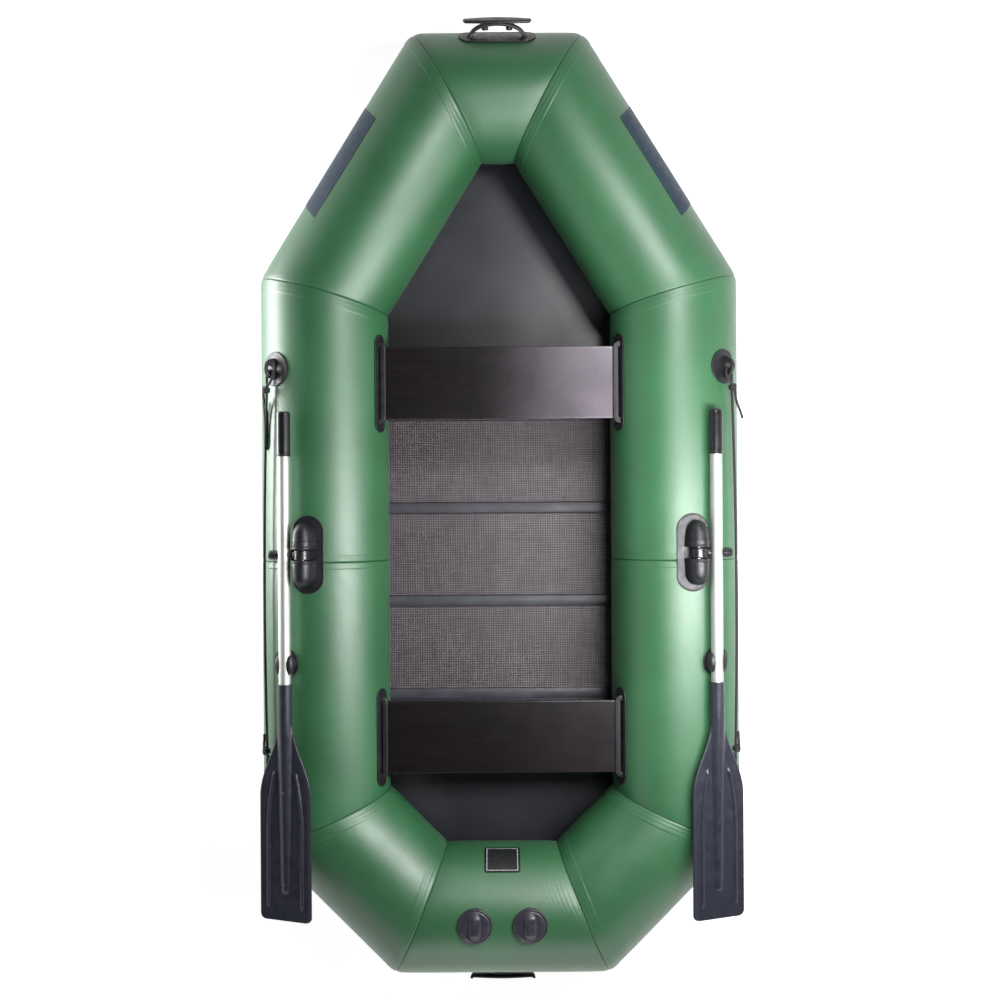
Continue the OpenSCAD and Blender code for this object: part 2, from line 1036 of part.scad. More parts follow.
// Blank patch on the outer side of the starboard bow tube
module patch() {
  mid = (ring[1] + ring[2]) / 2 - patch_ahead * heading(1);
  turn = atan2(heading(1).y, heading(1).x);
  translate([mid.x, mid.y, axis_z])
    rotate([0, 0, turn])
      difference() {
        intersection() {
          rotate([-patch_angle, 0, 0])
            linear_extrude(height = tube_r + 12)
              patch_outline();
          rod_x(skin_r + label_t, patch_l + 40);
        }
        rod_x(skin_r, patch_l + 60);
      }
}

module bow_patches() {
  color([0.09, 0.16, 0.3]) {
    patch();
    port()
      patch();
  }
}

bow_tube();
bow_right_tube();
bow_left_tube();
side_front_right_tube();
side_front_left_tube();
side_rear_right_tube();
side_rear_left_tube();
stern_right_tube();
stern_left_tube();
stern_tube();
floor_sheet();
slat_mat();
floor_slat_front();
floor_slat_middle();
floor_slat_rear();
front_seat();
rear_seat();
front_seat_brackets();
rear_seat_brackets();
oarlock_base_right();
oarlock_base_left();
oarlock_axle_right();
oarlock_axle_left();
oarlock_swivel_right();
oarlock_swivel_left();
oarlock_cap_right();
oarlock_cap_left();
oar_shaft_right();
oar_shaft_left();
oar_grip_right();
oar_grip_left();
oar_blade_right();
oar_blade_left();
oar_clips();
lifeline_eyes_right();
lifeline_eyes_left();
lifeline_right();
lifeline_left();
bow_handle();
stern_handle();
valve_caps();
rating_plate();
bow_patches();
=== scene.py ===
# Inflatable rowing boat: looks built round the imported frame. Metres, Z up, bow towards +Y.
import bpy
import bmesh
import math
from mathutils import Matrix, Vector, noise


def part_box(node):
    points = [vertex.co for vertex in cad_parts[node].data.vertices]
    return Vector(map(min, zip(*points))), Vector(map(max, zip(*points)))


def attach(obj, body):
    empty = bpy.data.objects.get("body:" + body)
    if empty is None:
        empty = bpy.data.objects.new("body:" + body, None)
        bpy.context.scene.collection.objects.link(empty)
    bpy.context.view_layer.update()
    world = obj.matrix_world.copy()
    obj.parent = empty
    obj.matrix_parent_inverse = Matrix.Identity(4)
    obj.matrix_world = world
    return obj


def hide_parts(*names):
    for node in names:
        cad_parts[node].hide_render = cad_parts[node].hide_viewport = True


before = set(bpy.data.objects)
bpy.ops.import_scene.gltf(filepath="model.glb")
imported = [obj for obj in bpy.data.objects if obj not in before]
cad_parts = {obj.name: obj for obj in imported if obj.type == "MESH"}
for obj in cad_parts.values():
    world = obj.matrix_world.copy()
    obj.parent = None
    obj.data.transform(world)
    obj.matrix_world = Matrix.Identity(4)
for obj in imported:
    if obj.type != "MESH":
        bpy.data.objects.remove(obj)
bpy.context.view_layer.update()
scene = bpy.context.scene
print("frame loaded")

# camera
cameraSet = {
    "x": 0.0,
    "y": 0.0064,
    "height": 3.5,
    "roll": -0.36,  # degrees, the boat lies a little askew in the frame
    "lens": 46.6,
    "sensor": 36.0,
    "near": 0.05,
    "far": 60,
}


def makeCamera(c):
    data = bpy.data.cameras.new("topCamera")
    data.lens = c["lens"]
    data.sensor_width = c["sensor"]
    data.clip_start = c["near"]
    data.clip_end = c["far"]
    cam = bpy.data.objects.new("topCamera", data)
    cam.location = (c["x"], c["y"], c["height"])
    cam.rotation_euler = (0, 0, math.radians(c["roll"]))
    scene.collection.objects.link(cam)
    scene.camera = cam


makeCamera(cameraSet)

# sizes taken from the frame
low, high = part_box("bow_tube")
tubeR = (high.z - low.z) / 2
axisZ = (high.z + low.z) / 2
endY = high.y - tubeR
bowHalf = (high.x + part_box("bow_right_tube")[0].x) / 2
shoulderY = (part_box("side_front_right_tube")[1].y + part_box("bow_right_tube")[0].y) / 2
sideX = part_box("side_front_right_tube")[1].x - tubeR
quarterY = (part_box("side_rear_right_tube")[0].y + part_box("stern_right_tube")[1].y) / 2
sternHalf = (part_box("stern_tube")[1].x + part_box("stern_right_tube")[0].x) / 2
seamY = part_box("side_rear_right_tube")[1].y
glueGap = 0.0003
bothSides = ((False, "Right"), (True, "Left"))  # mirrored or not, and the ending of a piece's name

# corners of the ring's centreline, clockwise from the bow's left
ring = [Vector(p) for p in (
    (-bowHalf, endY), (bowHalf, endY), (sideX, shoulderY), (sideX, quarterY),
    (sternHalf, -endY), (-sternHalf, -endY), (-sideX, quarterY), (-sideX, shoulderY))]


def clamp(x):
    return max(0.0, min(1.0, x))


def offAxis(degrees):  # direction square to a tube, tilted from upright
    t = math.radians(degrees)
    return Vector((math.sin(t), 0, math.cos(t)))


def onSide(y, angle, across, height):  # place on the right side tube, angle down from its crest
    t = math.radians(angle) + across / tubeR
    return Vector((sideX + (tubeR + height) * math.sin(t), y, axisZ + (tubeR + height) * math.cos(t)))


def onEnd(x, angle, across, height):  # the same on the bow tube
    t = math.radians(angle) + across / tubeR
    return Vector((x, endY + (tubeR + height) * math.sin(t), axisZ + (tubeR + height) * math.cos(t)))


# mesh tools
def newShape():
    return {"verts": [], "faces": [], "uvs": [], "seam": []}


# skin over closed rings of equal length; its UVs are metres along and round them
def addLoft(shape, rings, caps=(True, True), seam=None, uvSize=None):
    first = len(shape["verts"])
    n = len(rings[0])
    us = [0.0]
    for a, b in zip(rings, rings[1:]):
        us.append(us[-1] + max((Vector(a[0]) - Vector(b[0])).length, (Vector(a[n // 2]) - Vector(b[n // 2])).length))
    big = max(rings, key=lambda r: sum((Vector(r[k]) - Vector(r[k - 1])).length for k in range(n)))
    vs = [0.0]
    for k in range(n):
        vs.append(vs[-1] + (Vector(big[(k + 1) % n]) - Vector(big[k])).length)
    if uvSize:
        us, vs = uvSize
    for i, r in enumerate(rings):
        shape["verts"].extend(tuple(p) for p in r)
        shape["seam"].extend(seam[i] if seam else [1.0] * n)
    for i in range(len(rings) - 1):
        for k in range(n):
            m = (k + 1) % n
            a = first + i * n
            shape["faces"].append((a + k, a + n + k, a + n + m, a + m))
            shape["uvs"].append(((us[i], vs[k]), (us[i + 1], vs[k]), (us[i + 1], vs[k + 1]), (us[i], vs[k + 1])))
    for want, i in zip(caps, (0, len(rings) - 1)):
        if want:
            a = first + i * n
            face = tuple(range(a, a + n))
            shape["faces"].append(face)
            shape["uvs"].append(tuple((shape["verts"][v][0], shape["verts"][v][1]) for v in face))
    return shape


# cleans and shades the shape, gives it its finish, ties it to its body and hides the CAD node that it replaces
def makePiece(name, shape, finish, body, slotName, cadName, sharp=38, mirror=False):
    weld, sliver = 1e-6, 1e-7
    sign = -1 if mirror else 1
    mesh = bpy.data.meshes.new(name)
    mesh.from_pydata([(sign * x, y, z) for x, y, z in shape["verts"]], [], shape["faces"])
    layer = mesh.uv_layers.new(name="cloth")
    layer.data.foreach_set("uv", [c for face in shape["uvs"] for pair in face for c in pair])
    fromSeam = mesh.attributes.new("fromSeam", "FLOAT", "POINT")
    fromSeam.data.foreach_set("value", shape["seam"])
    bm = bmesh.new()
    bm.from_mesh(mesh)
    bmesh.ops.remove_doubles(bm, verts=bm.verts, dist=weld)
    bmesh.ops.dissolve_degenerate(bm, dist=sliver, edges=bm.edges)
    bmesh.ops.recalc_face_normals(bm, faces=bm.faces)
    bm.to_mesh(mesh)
    bm.free()
    mesh.polygons.foreach_set("use_smooth", [True] * len(mesh.polygons))
    mesh.set_sharp_from_angle(angle=math.radians(sharp))
    mesh.materials.append(finish)
    ob = bpy.data.objects.new(name, mesh)
    scene.collection.objects.link(ob)
    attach(ob, body)
    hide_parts(cadName)
    return ob


# pieces on the right and their mirror images on the left; those of an oar ride that side's oar
def makeBothSides(pieces, onOar=False):
    for mirror, tail in bothSides:
        body = tail.lower() + "_oar" if onOar else "hull"
        for name, cadName, shape, finish, slotName, sharp in pieces:
            makePiece(name + tail, shape, finish, body, slotName, cadName + tail.lower(), sharp, mirror)


def stadiumLoop(length, width, inset, arc=20, straight=10):  # long side along the first axis
    half, r = (length - width) / 2, max(width / 2 - inset, 0)
    pts = []
    for side in (1, -1):
        for k in range(arc):
            t = math.pi * (k / arc - 0.5) + (0 if side > 0 else math.pi)
            pts.append((side * half + r * math.cos(t), r * math.sin(t)))
        for k in range(straight):
            pts.append((side * (half - 2 * half * k / straight), side * r))
    return pts


def rectLoop(lx, ly, corner, inset, arc=6, nx=10, ny=8):  # rounded rectangle
    hx, hy = max(lx / 2 - inset, 0), max(ly / 2 - inset, 0)
    r = max(min(corner - inset, hx, hy), 0)
    corners = ((hx - r, hy - r, 0), (-hx + r, hy - r, 90), (-hx + r, -hy + r, 180), (hx - r, -hy + r, 270))
    pts = []
    for i, (cx, cy, start) in enumerate(corners):
        for k in range(arc + 1):
            t = math.radians(start + 90 * k / arc)
            pts.append((cx + r * math.cos(t), cy + r * math.sin(t)))
        nxt = corners[(i + 1) % 4]
        t = math.radians(nxt[2])
        goal = (nxt[0] + r * math.cos(t), nxt[1] + r * math.sin(t))
        steps = nx if i % 2 == 0 else ny
        here = pts[-1]
        for k in range(1, steps):
            pts.append((here[0] + (goal[0] - here[0]) * k / steps, here[1] + (goal[1] - here[1]) * k / steps))
    return pts


# loop(inset) gives the outline, profile lists (inset, height) from under the middle round the rim to the top's middle
def addSlab(shape, loop, place, profile):
    rings = [[place(u, v, h) for u, v in loop(inset)] for inset, h in profile]
    return addLoft(shape, rings, caps=(False, False))


def quarterRound(r, steps=4):  # (inset, drop) from the side wall up to the top
    arc = [math.pi / 2 * k / steps for k in range(steps + 1)]
    return [(r * (1 - math.cos(t)), r * (1 - math.sin(t))) for t in arc]


# profile for addSlab: flat underside, side wall with rounded edges, crowned top
def rimProfile(reach, bottom, top, edge, steps, crown=0.0):
    out = [(reach * (1 - k / steps), bottom) for k in range(steps)]
    under = min(edge, 0.0006)
    out += [(under, bottom), (under * 0.3, bottom + under * 0.3), (0, bottom + under)]
    out += [(inset, top - drop) for inset, drop in quarterRound(edge)]
    for k in range(1, steps + 1):
        f = k / steps
        out.append((edge + (reach - edge) * f, top + crown * (1 - (1 - f) ** 2)))
    return out


# profile lists (radius, distance along the axis); the first of its points lies toward side
def addTurned(shape, origin, axis, profile, sides, side, caps=(True, True)):
    axis, a = Vector(axis).normalized(), Vector(side).normalized()
    b = axis.cross(a)
    turn = [2 * math.pi * k / sides for k in range(sides)]
    rings = [[Vector(origin) + axis * d + (a * math.cos(t) + b * math.sin(t)) * r for t in turn] for r, d in profile]
    return addLoft(shape, rings, caps)


def roundedEdge(r, d0, d1, e):  # turned profile of a wheel with rounded edges
    cut = [(math.cos(math.pi / 2 * k / 4), math.sin(math.pi / 2 * k / 4)) for k in range(5)]
    front = [(r - e + e * s, d0 + e - e * c) for c, s in cut]
    back = [(r - e + e * c, d1 - e + e * s) for c, s in cut]
    return front + back


# finishes
def srgb(r, g, b):
    def lin(c):
        c = c / 255
        return c / 12.92 if c <= 0.04045 else ((c + 0.055) / 1.055) ** 2.4
    return (lin(r), lin(g), lin(b), 1.0)


def newFinish(name, colour, rough, specular=0.5, metal=0.0):
    mat = bpy.data.materials.new(name)
    mat.use_nodes = True
    shader = mat.node_tree.nodes["Principled BSDF"]
    shader.inputs["Base Color"].default_value = colour
    shader.inputs["Roughness"].default_value = rough
    shader.inputs["Specular IOR Level"].default_value = specular
    shader.inputs["Metallic"].default_value = metal
    return mat, mat.node_tree, shader


def node(tree, kind, **settings):
    made = tree.nodes.new(kind)
    for key, value in settings.items():
        if key.startswith("in_"):
            made.inputs[key[3:].replace("_", " ")].default_value = value
        else:
            setattr(made, key, value)
    return made


def placeOf(tree):
    return node(tree, "ShaderNodeTexCoord").outputs["Object"]


def stretched(tree, scale):  # place with a scale for each axis, so that grain comes out as streaks
    made = node(tree, "ShaderNodeMapping", in_Scale=scale)
    tree.links.new(placeOf(tree), made.inputs["Vector"])
    return made.outputs["Vector"]


def grain(tree, scale, detail=3, rough=0.55, vector=None):
    made = node(tree, "ShaderNodeTexNoise", in_Scale=scale, in_Detail=detail, in_Roughness=rough)
    tree.links.new(vector or placeOf(tree), made.inputs["Vector"])
    return made.outputs["Fac"]


def between(tree, source, a, b, c=0.0, d=1.0):  # maps a..b to c..d
    made = node(tree, "ShaderNodeMapRange")
    tree.links.new(source, made.inputs["Value"])
    for key, value in zip(("From Min", "From Max", "To Min", "To Max"), (a, b, c, d)):
        made.inputs[key].default_value = value
    return made.outputs["Result"]


def tint(tree, factor, a, b):
    made = node(tree, "ShaderNodeMix", data_type="RGBA")
    tree.links.new(factor, made.inputs["Factor"])
    for key, value in ((6, a), (7, b)):
        if isinstance(value, tuple):
            made.inputs[key].default_value = value
        else:
            tree.links.new(value, made.inputs[key])
    return made.outputs[2]


def maths(tree, kind, a, b=None):
    made = node(tree, "ShaderNodeMath", operation=kind)
    for i, value in enumerate((a, b)):
        if value is None:
            continue
        if isinstance(value, (int, float)):
            made.inputs[i].default_value = value
        else:
            tree.links.new(value, made.inputs[i])
    return made.outputs[0]


def bump(tree, shader, height, distance, strength=1.0, under=None):
    made = node(tree, "ShaderNodeBump")
    made.inputs["Strength"].default_value = strength
    made.inputs["Distance"].default_value = distance
    tree.links.new(height, made.inputs["Height"])
    if under:
        tree.links.new(under, made.inputs["Normal"])
    tree.links.new(made.outputs["Normal"], shader.inputs["Normal"])
    return made.outputs["Normal"]


def bands(tree, direction, size, vector, distort=0.0):  # waves of the given length
    plainLength = 0.314159  # of a wave at a scale of 1
    made = node(tree, "ShaderNodeTexWave", wave_type="BANDS", bands_direction=direction, wave_profile="SIN")
    made.inputs["Scale"].default_value = plainLength / size
    made.inputs["Distortion"].default_value = distort
    made.inputs["Detail"].default_value = 1.0
    tree.links.new(vector, made.inputs["Vector"])
    return made.outputs["Fac"]


def weave(tree, size, vector):
    return maths(tree, "MULTIPLY", bands(tree, "X", size, vector), bands(tree, "Y", size, vector))


def clothMap(tree):
    return node(tree, "ShaderNodeUVMap", uv_map="cloth").outputs["UV"]


def colourOf(tree, shader, output):
    tree.links.new(output, shader.inputs["Base Color"])


def roughOf(tree, shader, output):
    tree.links.new(output, shader.inputs["Roughness"])


# soft patches of two colours; span is the part of the grain over which they change
def cloudy(tree, scale, detail, span, one, two):
    return tint(tree, between(tree, grain(tree, scale, detail), *span), one, two)


# roughness that drifts from below to above its plain value
def roughDrift(tree, shader, scale, detail, rough, less, more, span=(0.35, 0.7)):
    roughOf(tree, shader, between(tree, grain(tree, scale, detail), *span, rough - less, rough + more))


# tube fabric
tubeCloth = {
    "green": srgb(46, 102, 63),
    "shade": srgb(40, 91, 55),
    # painted shade along each seam line, in its groove
    "groove": srgb(34, 78, 50),
    "roughness": 0.45,
    "thread": 0.0016,  # spacing of the woven core that prints through the coating
}


def tubeFinish(c):
    mat, tree, shader = newFinish("tubeCloth", c["green"], c["roughness"], specular=1.0)
    base = cloudy(tree, 5, 4, (0.35, 0.65), c["green"], c["shade"])
    seam = node(tree, "ShaderNodeAttribute", attribute_name="fromSeam").outputs["Fac"]
    # painted shade: the cloth is darkened within about 2 mm of a seam
    colourOf(tree, shader, tint(tree, between(tree, seam, 0.0004, 0.0022), c["groove"], base))
    roughDrift(tree, shader, 26, 5, c["roughness"], 0.02, 0.03, (0.42, 0.72))
    fine = bump(tree, shader, weave(tree, c["thread"], clothMap(tree)), 0.00010, 0.7)
    bump(tree, shader, grain(tree, 60, 4), 0.00025, 0.2, fine)
    return mat


clothGreen = tubeFinish(tubeCloth)

# tube ring
tubes = {
    "around": 112,  # points round the tube
    "outerCorner": 0.046,  # plan radius at the outer corners
    "innerCorner": 0.012,
    "band": 0.031,  # width of the welded lap beside a mitre
    "lap": 0.0009,  # its height
    "halfBand": 0.016,  # laps on both sides of the cross seam
    "groove": 0.0011,  # depth of the line right at a seam
    "stitch": 0.00035,  # depth of the welding lines on a lap
    "pinch": 0.0022,  # the seams pull in a little
    "pinchReach": 0.016,
    "wrinkle": 0.00012,
    "wave": 0.0115,  # length of the wrinkles
    "zone": 0.105,  # how far from a seam the points lie close together
    "rowStep": 0.0026,  # their spacing there
    "middleStep": 0.035,  # and between the zones
    "unevenness": 0.0007,  # slow swells along a tube
    "endWall": 0.93,  # inner ring of the wall inside a seam, as a part of the tube
}
lapWidth = {"band": tubes["band"], "half": tubes["halfBand"], "plain": 0.0}
lapLines = {"band": (0.34, 0.66), "half": (0.5,)}  # welding lines, as parts of the lap's width


def heading(i):
    return (ring[(i + 1) % len(ring)] - ring[i % len(ring)]).normalized()


def outward(i):
    h = heading(i)
    return Vector((-h.y, h.x))


def mitreAt(i):
    return (outward(i - 1) + outward(i)).normalized()


def turnAt(i):
    return heading(i - 1).angle(heading(i)) / 2


def mitrePoint(corner, i, d):  # where panel i's line, d outboard of its centreline, meets the mitre
    return ring[corner] + mitreAt(corner) * (d / mitreAt(corner).dot(outward(i)))


def cornerRadius(d):
    f = clamp((d / tubeR + 1) / 2)
    return tubes["innerCorner"] + (tubes["outerCorner"] - tubes["innerCorner"]) * f ** 1.5


# place on the offset line of panel i, s from its seam, d outboard of the centreline, and the way it faces
def edgePoint(i, atStart, s, d):
    out = outward(i)
    corner = i if atStart else (i + 1) % len(ring)
    half, rho = turnAt(corner), cornerRadius(d)
    into = heading(i) if atStart else -heading(i)
    reach, arc = rho * math.tan(half), rho * half
    vertex = mitrePoint(corner, i, d)
    if s < arc:
        t = half - s / rho
        facing = out * math.cos(t) - into * math.sin(t)
        return vertex + into * reach - out * rho + facing * rho, facing
    return vertex + into * (reach + s - arc), out


def lineLength(i, d):
    corners = (i, (i + 1) % len(ring))
    va, vb = (mitrePoint(corner, i, d) for corner in corners)
    total = (vb - va).length
    for corner in corners:
        total += cornerRadius(d) * (turnAt(corner) - math.tan(turnAt(corner)))
    return total


def seamRows(kind, zone):  # distances from a seam where a row of points lies
    width, closest = lapWidth[kind], 0.0005
    rows = [0.0, 0.0006, 0.0014, 0.0024, 0.004]
    start, step = rows[-1], tubes["rowStep"]
    rows += [start + step * k for k in range(1, int((zone - start) / step) + 1)]
    if width:
        rows += [width * f for f in (0.3, 0.34, 0.38, 0.62, 0.66, 0.7)]
        rows += [width + e for e in (-0.0018, -0.0006, 0.0006, 0.002)]
    out = [0.0]
    for r in sorted(rows):
        if r <= zone and r - out[-1] > closest:
            out.append(r)
    return out


def seamHeight(kind, s):  # how far the surface stands off the round tube
    width, grooveEnd = lapWidth[kind], 0.0022
    h = -tubes["pinch"] * math.exp(-s / tubes["pinchReach"])
    if s < grooveEnd:
        h -= tubes["groove"] * (1 - s / grooveEnd)
    if width:
        h += tubes["lap"] * (clamp(s / 0.0018) * clamp((width + 0.0006 - s) / 0.0012))
        for f in lapLines[kind]:
            h -= tubes["stitch"] * math.exp(-((s - width * f) / 0.0009) ** 2)
    return h


def wrinkles(s, theta, seed):
    fade = math.exp(-s / 0.042) * min(1.0, s / 0.006)
    patch = max(0.0, noise.noise(Vector((math.cos(theta) * 1.6 + seed, math.sin(theta) * 1.6, s * 9))) + 0.15)
    slant = 3.2 * noise.noise(Vector((math.cos(theta) * 0.9, math.sin(theta) * 0.9, seed * 2)))
    inner = 0.55 + 0.9 * (0.5 - 0.5 * math.cos(theta))  # the inside of a corner is squeezed
    return tubes["wrinkle"] * fade * patch * inner * 2.2 * math.sin(2 * math.pi * s / tubes["wave"] + slant * 3)


def seamShare(i, part, lengths, thetas):  # the part of each line that the panel takes up
    if not part:
        return [(0.0, 1.0)] * len(lengths)
    clear = 0.2  # past the rounded corner, where the side tube runs straight aft
    share = []
    for theta, whole in zip(thetas, lengths):
        straight = edgePoint(i, True, clear, tubeR * math.cos(theta))[0]
        cut = (clear + (straight.y - seamY)) / whole
        share.append((0.0, cut) if part == "front" else (cut, 1.0))
    return share


# one panel of the ring. kinds name its two seams; part cuts a side tube at the cross seam
def tubePanel(name, cadName, i, kinds, part=None, mirror=False, seed=0):
    n = tubes["around"]
    thetas = [2 * math.pi * k / n for k in range(n)]
    lengths = [lineLength(i, tubeR * math.cos(theta)) for theta in thetas]
    span = seamShare(i, part, lengths, thetas)
    runs = [(b - a) * whole for (a, b), whole in zip(span, lengths)]
    zone = min(tubes["zone"], min(runs) * 0.46)
    mids = max(4, int(max(runs) / tubes["middleStep"]))
    rows = [("a", s) for s in seamRows(kinds[0], zone)]
    rows += [("m", k / mids) for k in range(1, mids)]
    rows += [("b", s) for s in reversed(seamRows(kinds[1], zone))]
    rings, seamOf = [], []
    for kind, value in rows:
        loop, marks = [], []
        for theta, whole, share in zip(thetas, lengths, span):
            a, b = share[0] * whole, share[1] * whole
            s = {"a": a + value, "b": b - value, "m": a + zone + (b - a - 2 * zone) * value}[kind]
            fromA, fromB = s - a, b - s
            h = seamHeight(kinds[0], fromA) + seamHeight(kinds[1], fromB)
            h += wrinkles(fromA, theta, seed + 1.7) + wrinkles(fromB, theta, seed + 5.3)
            atStart = s < whole / 2
            p, facing = edgePoint(i, atStart, s if atStart else whole - s, tubeR * math.cos(theta))
            spot = Vector((p.x * 5, p.y * 5, math.sin(theta) * 1.4 + seed))
            h += tubes["unevenness"] * noise.noise(spot) * (0.4 if math.sin(theta) < -0.8 else 1.0)
            z = axisZ + (tubeR + h) * math.sin(theta)
            p = p + facing * (h * math.cos(theta))
            loop.append(Vector((p.x, p.y, max(z, 0.0021))))  # never below the floor's upper face
            marks.append(min(fromA, fromB))
        rings.append(loop)
        seamOf.append(marks)
    us = [0.0]
    for a, b in zip(rings, rings[1:]):
        us.append(us[-1] + (a[n // 4] - b[n // 4]).length)
    vs = [2 * math.pi * tubeR * k / n for k in range(n + 1)]
    shape = addLoft(newShape(), rings, caps=(False, False), seam=seamOf, uvSize=(us, vs))
    for wall in (rings[0], rings[-1]):  # end wall set back inside the seam
        centre = sum(wall, Vector()) / n
        inner = [centre + (p - centre) * tubes["endWall"] for p in wall]
        addLoft(shape, [wall, inner], caps=(False, True), seam=[[0.0] * n] * 2)
    makePiece(name, shape, clothGreen, "hull", "tube_fabric", cadName, 60, mirror)


tubePanel("bowTube", "bow_tube", 0, ("plain", "plain"))
for mirror, tail in bothSides:
    side, shift = tail.lower(), 20 if mirror else 0
    for name, cadName, i, kinds, part, seed in (
            ("bowTube", "bow_", 1, ("band", "plain"), None, 3),
            ("frontTube", "side_front_", 2, ("band", "half"), "front", 6),
            ("rearTube", "side_rear_", 2, ("half", "plain"), "rear", 9),
            ("sternTube", "stern_", 3, ("band", "band"), None, 12)):
        tubePanel(name + tail, cadName + side + "_tube", i, kinds, part, mirror, seed + shift)
tubePanel("sternTube", "stern_tube", 4, ("plain", "plain"), seed=15)
print("tube ring made")

# fabric floor
floorSet = {
    "grey": srgb(36, 37, 45),
    "dark": srgb(30, 31, 37),
    "roughness": 0.38,
    "thread": 0.0018,
    "thickness": 0.002,
    "lap": 0.045,  # glued out under the tubes, past their centreline
    "thinEdge": 0.0006,  # the rim is this much thinner on each face
    "swell": 0.0016,
    "swellFrom": 0.162,  # inboard of the tubes' centreline
    "spine": (-0.58, 0.66),  # ends of the line in the middle where the rings close
}


def floorFinish(c):
    mat, tree, shader = newFinish("floorCloth", c["grey"], c["roughness"], specular=0.6)
    colourOf(tree, shader, cloudy(tree, 7, 4, (0.35, 0.65), c["grey"], c["dark"]))
    roughDrift(tree, shader, 8, 3, c["roughness"], 0.02, 0.05)
    fine = bump(tree, shader, weave(tree, c["thread"], placeOf(tree)), 0.00007, 0.6)
    bump(tree, shader, grain(tree, 34, 4), 0.0003, 0.2, fine)
    return mat


def makeFloor(c):
    matLow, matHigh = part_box("slat_mat")
    offsets = [c["lap"], c["lap"] - 0.0008, 0.034, 0.022, 0.011, 0.0, -0.04, -0.09, -0.13, -0.162, -0.195]
    perPanel, inward = 12, 12  # points along a panel, rings from the last offset to the middle

    def loopAt(d):
        pts = []
        for i in range(len(ring)):
            whole = lineLength(i, d)
            for k in range(perPanel):
                s = whole * k / perPanel
                atStart = s < whole / 2
                pts.append(edgePoint(i, atStart, s if atStart else whole - s, d)[0])
        return pts

    def heightAt(p, d):  # up round the tubes at the lap, and slightly swollen where no mat holds it down
        if d > 0:
            return axisZ - math.sqrt((tubeR + glueGap) ** 2 - d * d)
        clear = clamp((p.y - matHigh.y) / 0.05) + clamp((matLow.y - p.y) / 0.05)
        inside = clamp((-d - c["swellFrom"]) / 0.03)
        lift = max(0.0, 0.35 + noise.noise(Vector((p.x * 6, p.y * 4, 2.0))))
        return c["thickness"] + c["swell"] * lift * inside * min(1.0, clear)

    top, under = [], []

    def addRings(loop, d, rim=0.0):
        zs = [heightAt(p, d) for p in loop]
        top.append([Vector((p.x, p.y, z - rim)) for p, z in zip(loop, zs)])
        under.append([Vector((p.x, p.y, z - c["thickness"] + rim)) for p, z in zip(loop, zs)])

    for d in offsets:
        addRings(loopAt(d), d, c["thinEdge"] if d == c["lap"] else 0.0)
    last = loopAt(offsets[-1])
    goals = [Vector((0, max(c["spine"][0], min(c["spine"][1], p.y)))) for p in last]
    for k in range(1, inward + 1):
        addRings([p.lerp(goal, k / inward) for p, goal in zip(last, goals)], -0.3)
    shape = addLoft(newShape(), list(reversed(under)) + top, caps=(False, False))
    return makePiece("floorCloth", shape, floorFinish(c), "hull", "floor_fabric", "floor_sheet", 50)


floorCloth = makeFloor(floorSet)
outline = [mitrePoint(i, i, floorSet["lap"]) for i in range(len(ring))]
print("floor made")

# mat under the slats
matSet = {
    "grey": srgb(62, 62, 71),
    "dark": srgb(50, 50, 58),
    "roughness": 0.44,
    "thread": 0.0014,
    "corner": 0.012,
    "strip": 0.0294,  # width of the raised strips
    "strips": 4,
    "base": 0.0015,  # thickness between them
    "crown": 0.0012,
}


def matFinish(c):
    mat, tree, shader = newFinish("matCloth", c["grey"], c["roughness"])
    colourOf(tree, shader, cloudy(tree, 16, 4, (0.35, 0.65), c["grey"], c["dark"]))
    roughDrift(tree, shader, 30, 5, c["roughness"], 0.06, 0.1)
    fine = bump(tree, shader, weave(tree, c["thread"], placeOf(tree)), 0.00006, 0.6)
    bump(tree, shader, grain(tree, 50, 3), 0.0005, 0.3, fine)
    return mat


def makeMat(c):
    lo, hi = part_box("slat_mat")
    mid, size = (lo + hi) / 2, hi - lo
    slatLow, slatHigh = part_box("floor_slat_front")
    pitch = slatLow.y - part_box("floor_slat_middle")[0].y
    frontStrip = slatHigh.y + c["strip"] / 2 + glueGap
    shape = newShape()

    def onBase(u, v, h):
        lift = 0.00035 * max(0.0, noise.noise(Vector((u * 7, v * 9, 4.0)))) if h > lo.z + 0.001 else 0.0
        return Vector((mid.x + u, mid.y + v, h + lift))

    addSlab(shape, lambda inset: rectLoop(size.x, size.y, c["corner"], inset, nx=16, ny=16), onBase,
            rimProfile(size.x / 2, lo.z, lo.z + c["base"], 0.0006, 8))
    ridge = rimProfile(c["strip"] / 2, lo.z + c["base"] * 0.6, hi.z - c["crown"], 0.0022, 5, c["crown"])
    for k in range(c["strips"]):
        y = frontStrip - k * pitch

        def onStrip(u, v, h):  # strips are worn a little hollow
            return Vector((mid.x + u, y + v, h - 0.0006 * abs(noise.noise(Vector((u * 14, y * 9, 1))))))

        addSlab(shape, lambda inset: rectLoop(size.x, c["strip"], 0.004, inset, arc=4, nx=40, ny=4), onStrip, ridge)
    return makePiece("slatMat", shape, matFinish(c), "hull", "floor_fabric", "slat_mat", 50)


slatMat = makeMat(matSet)


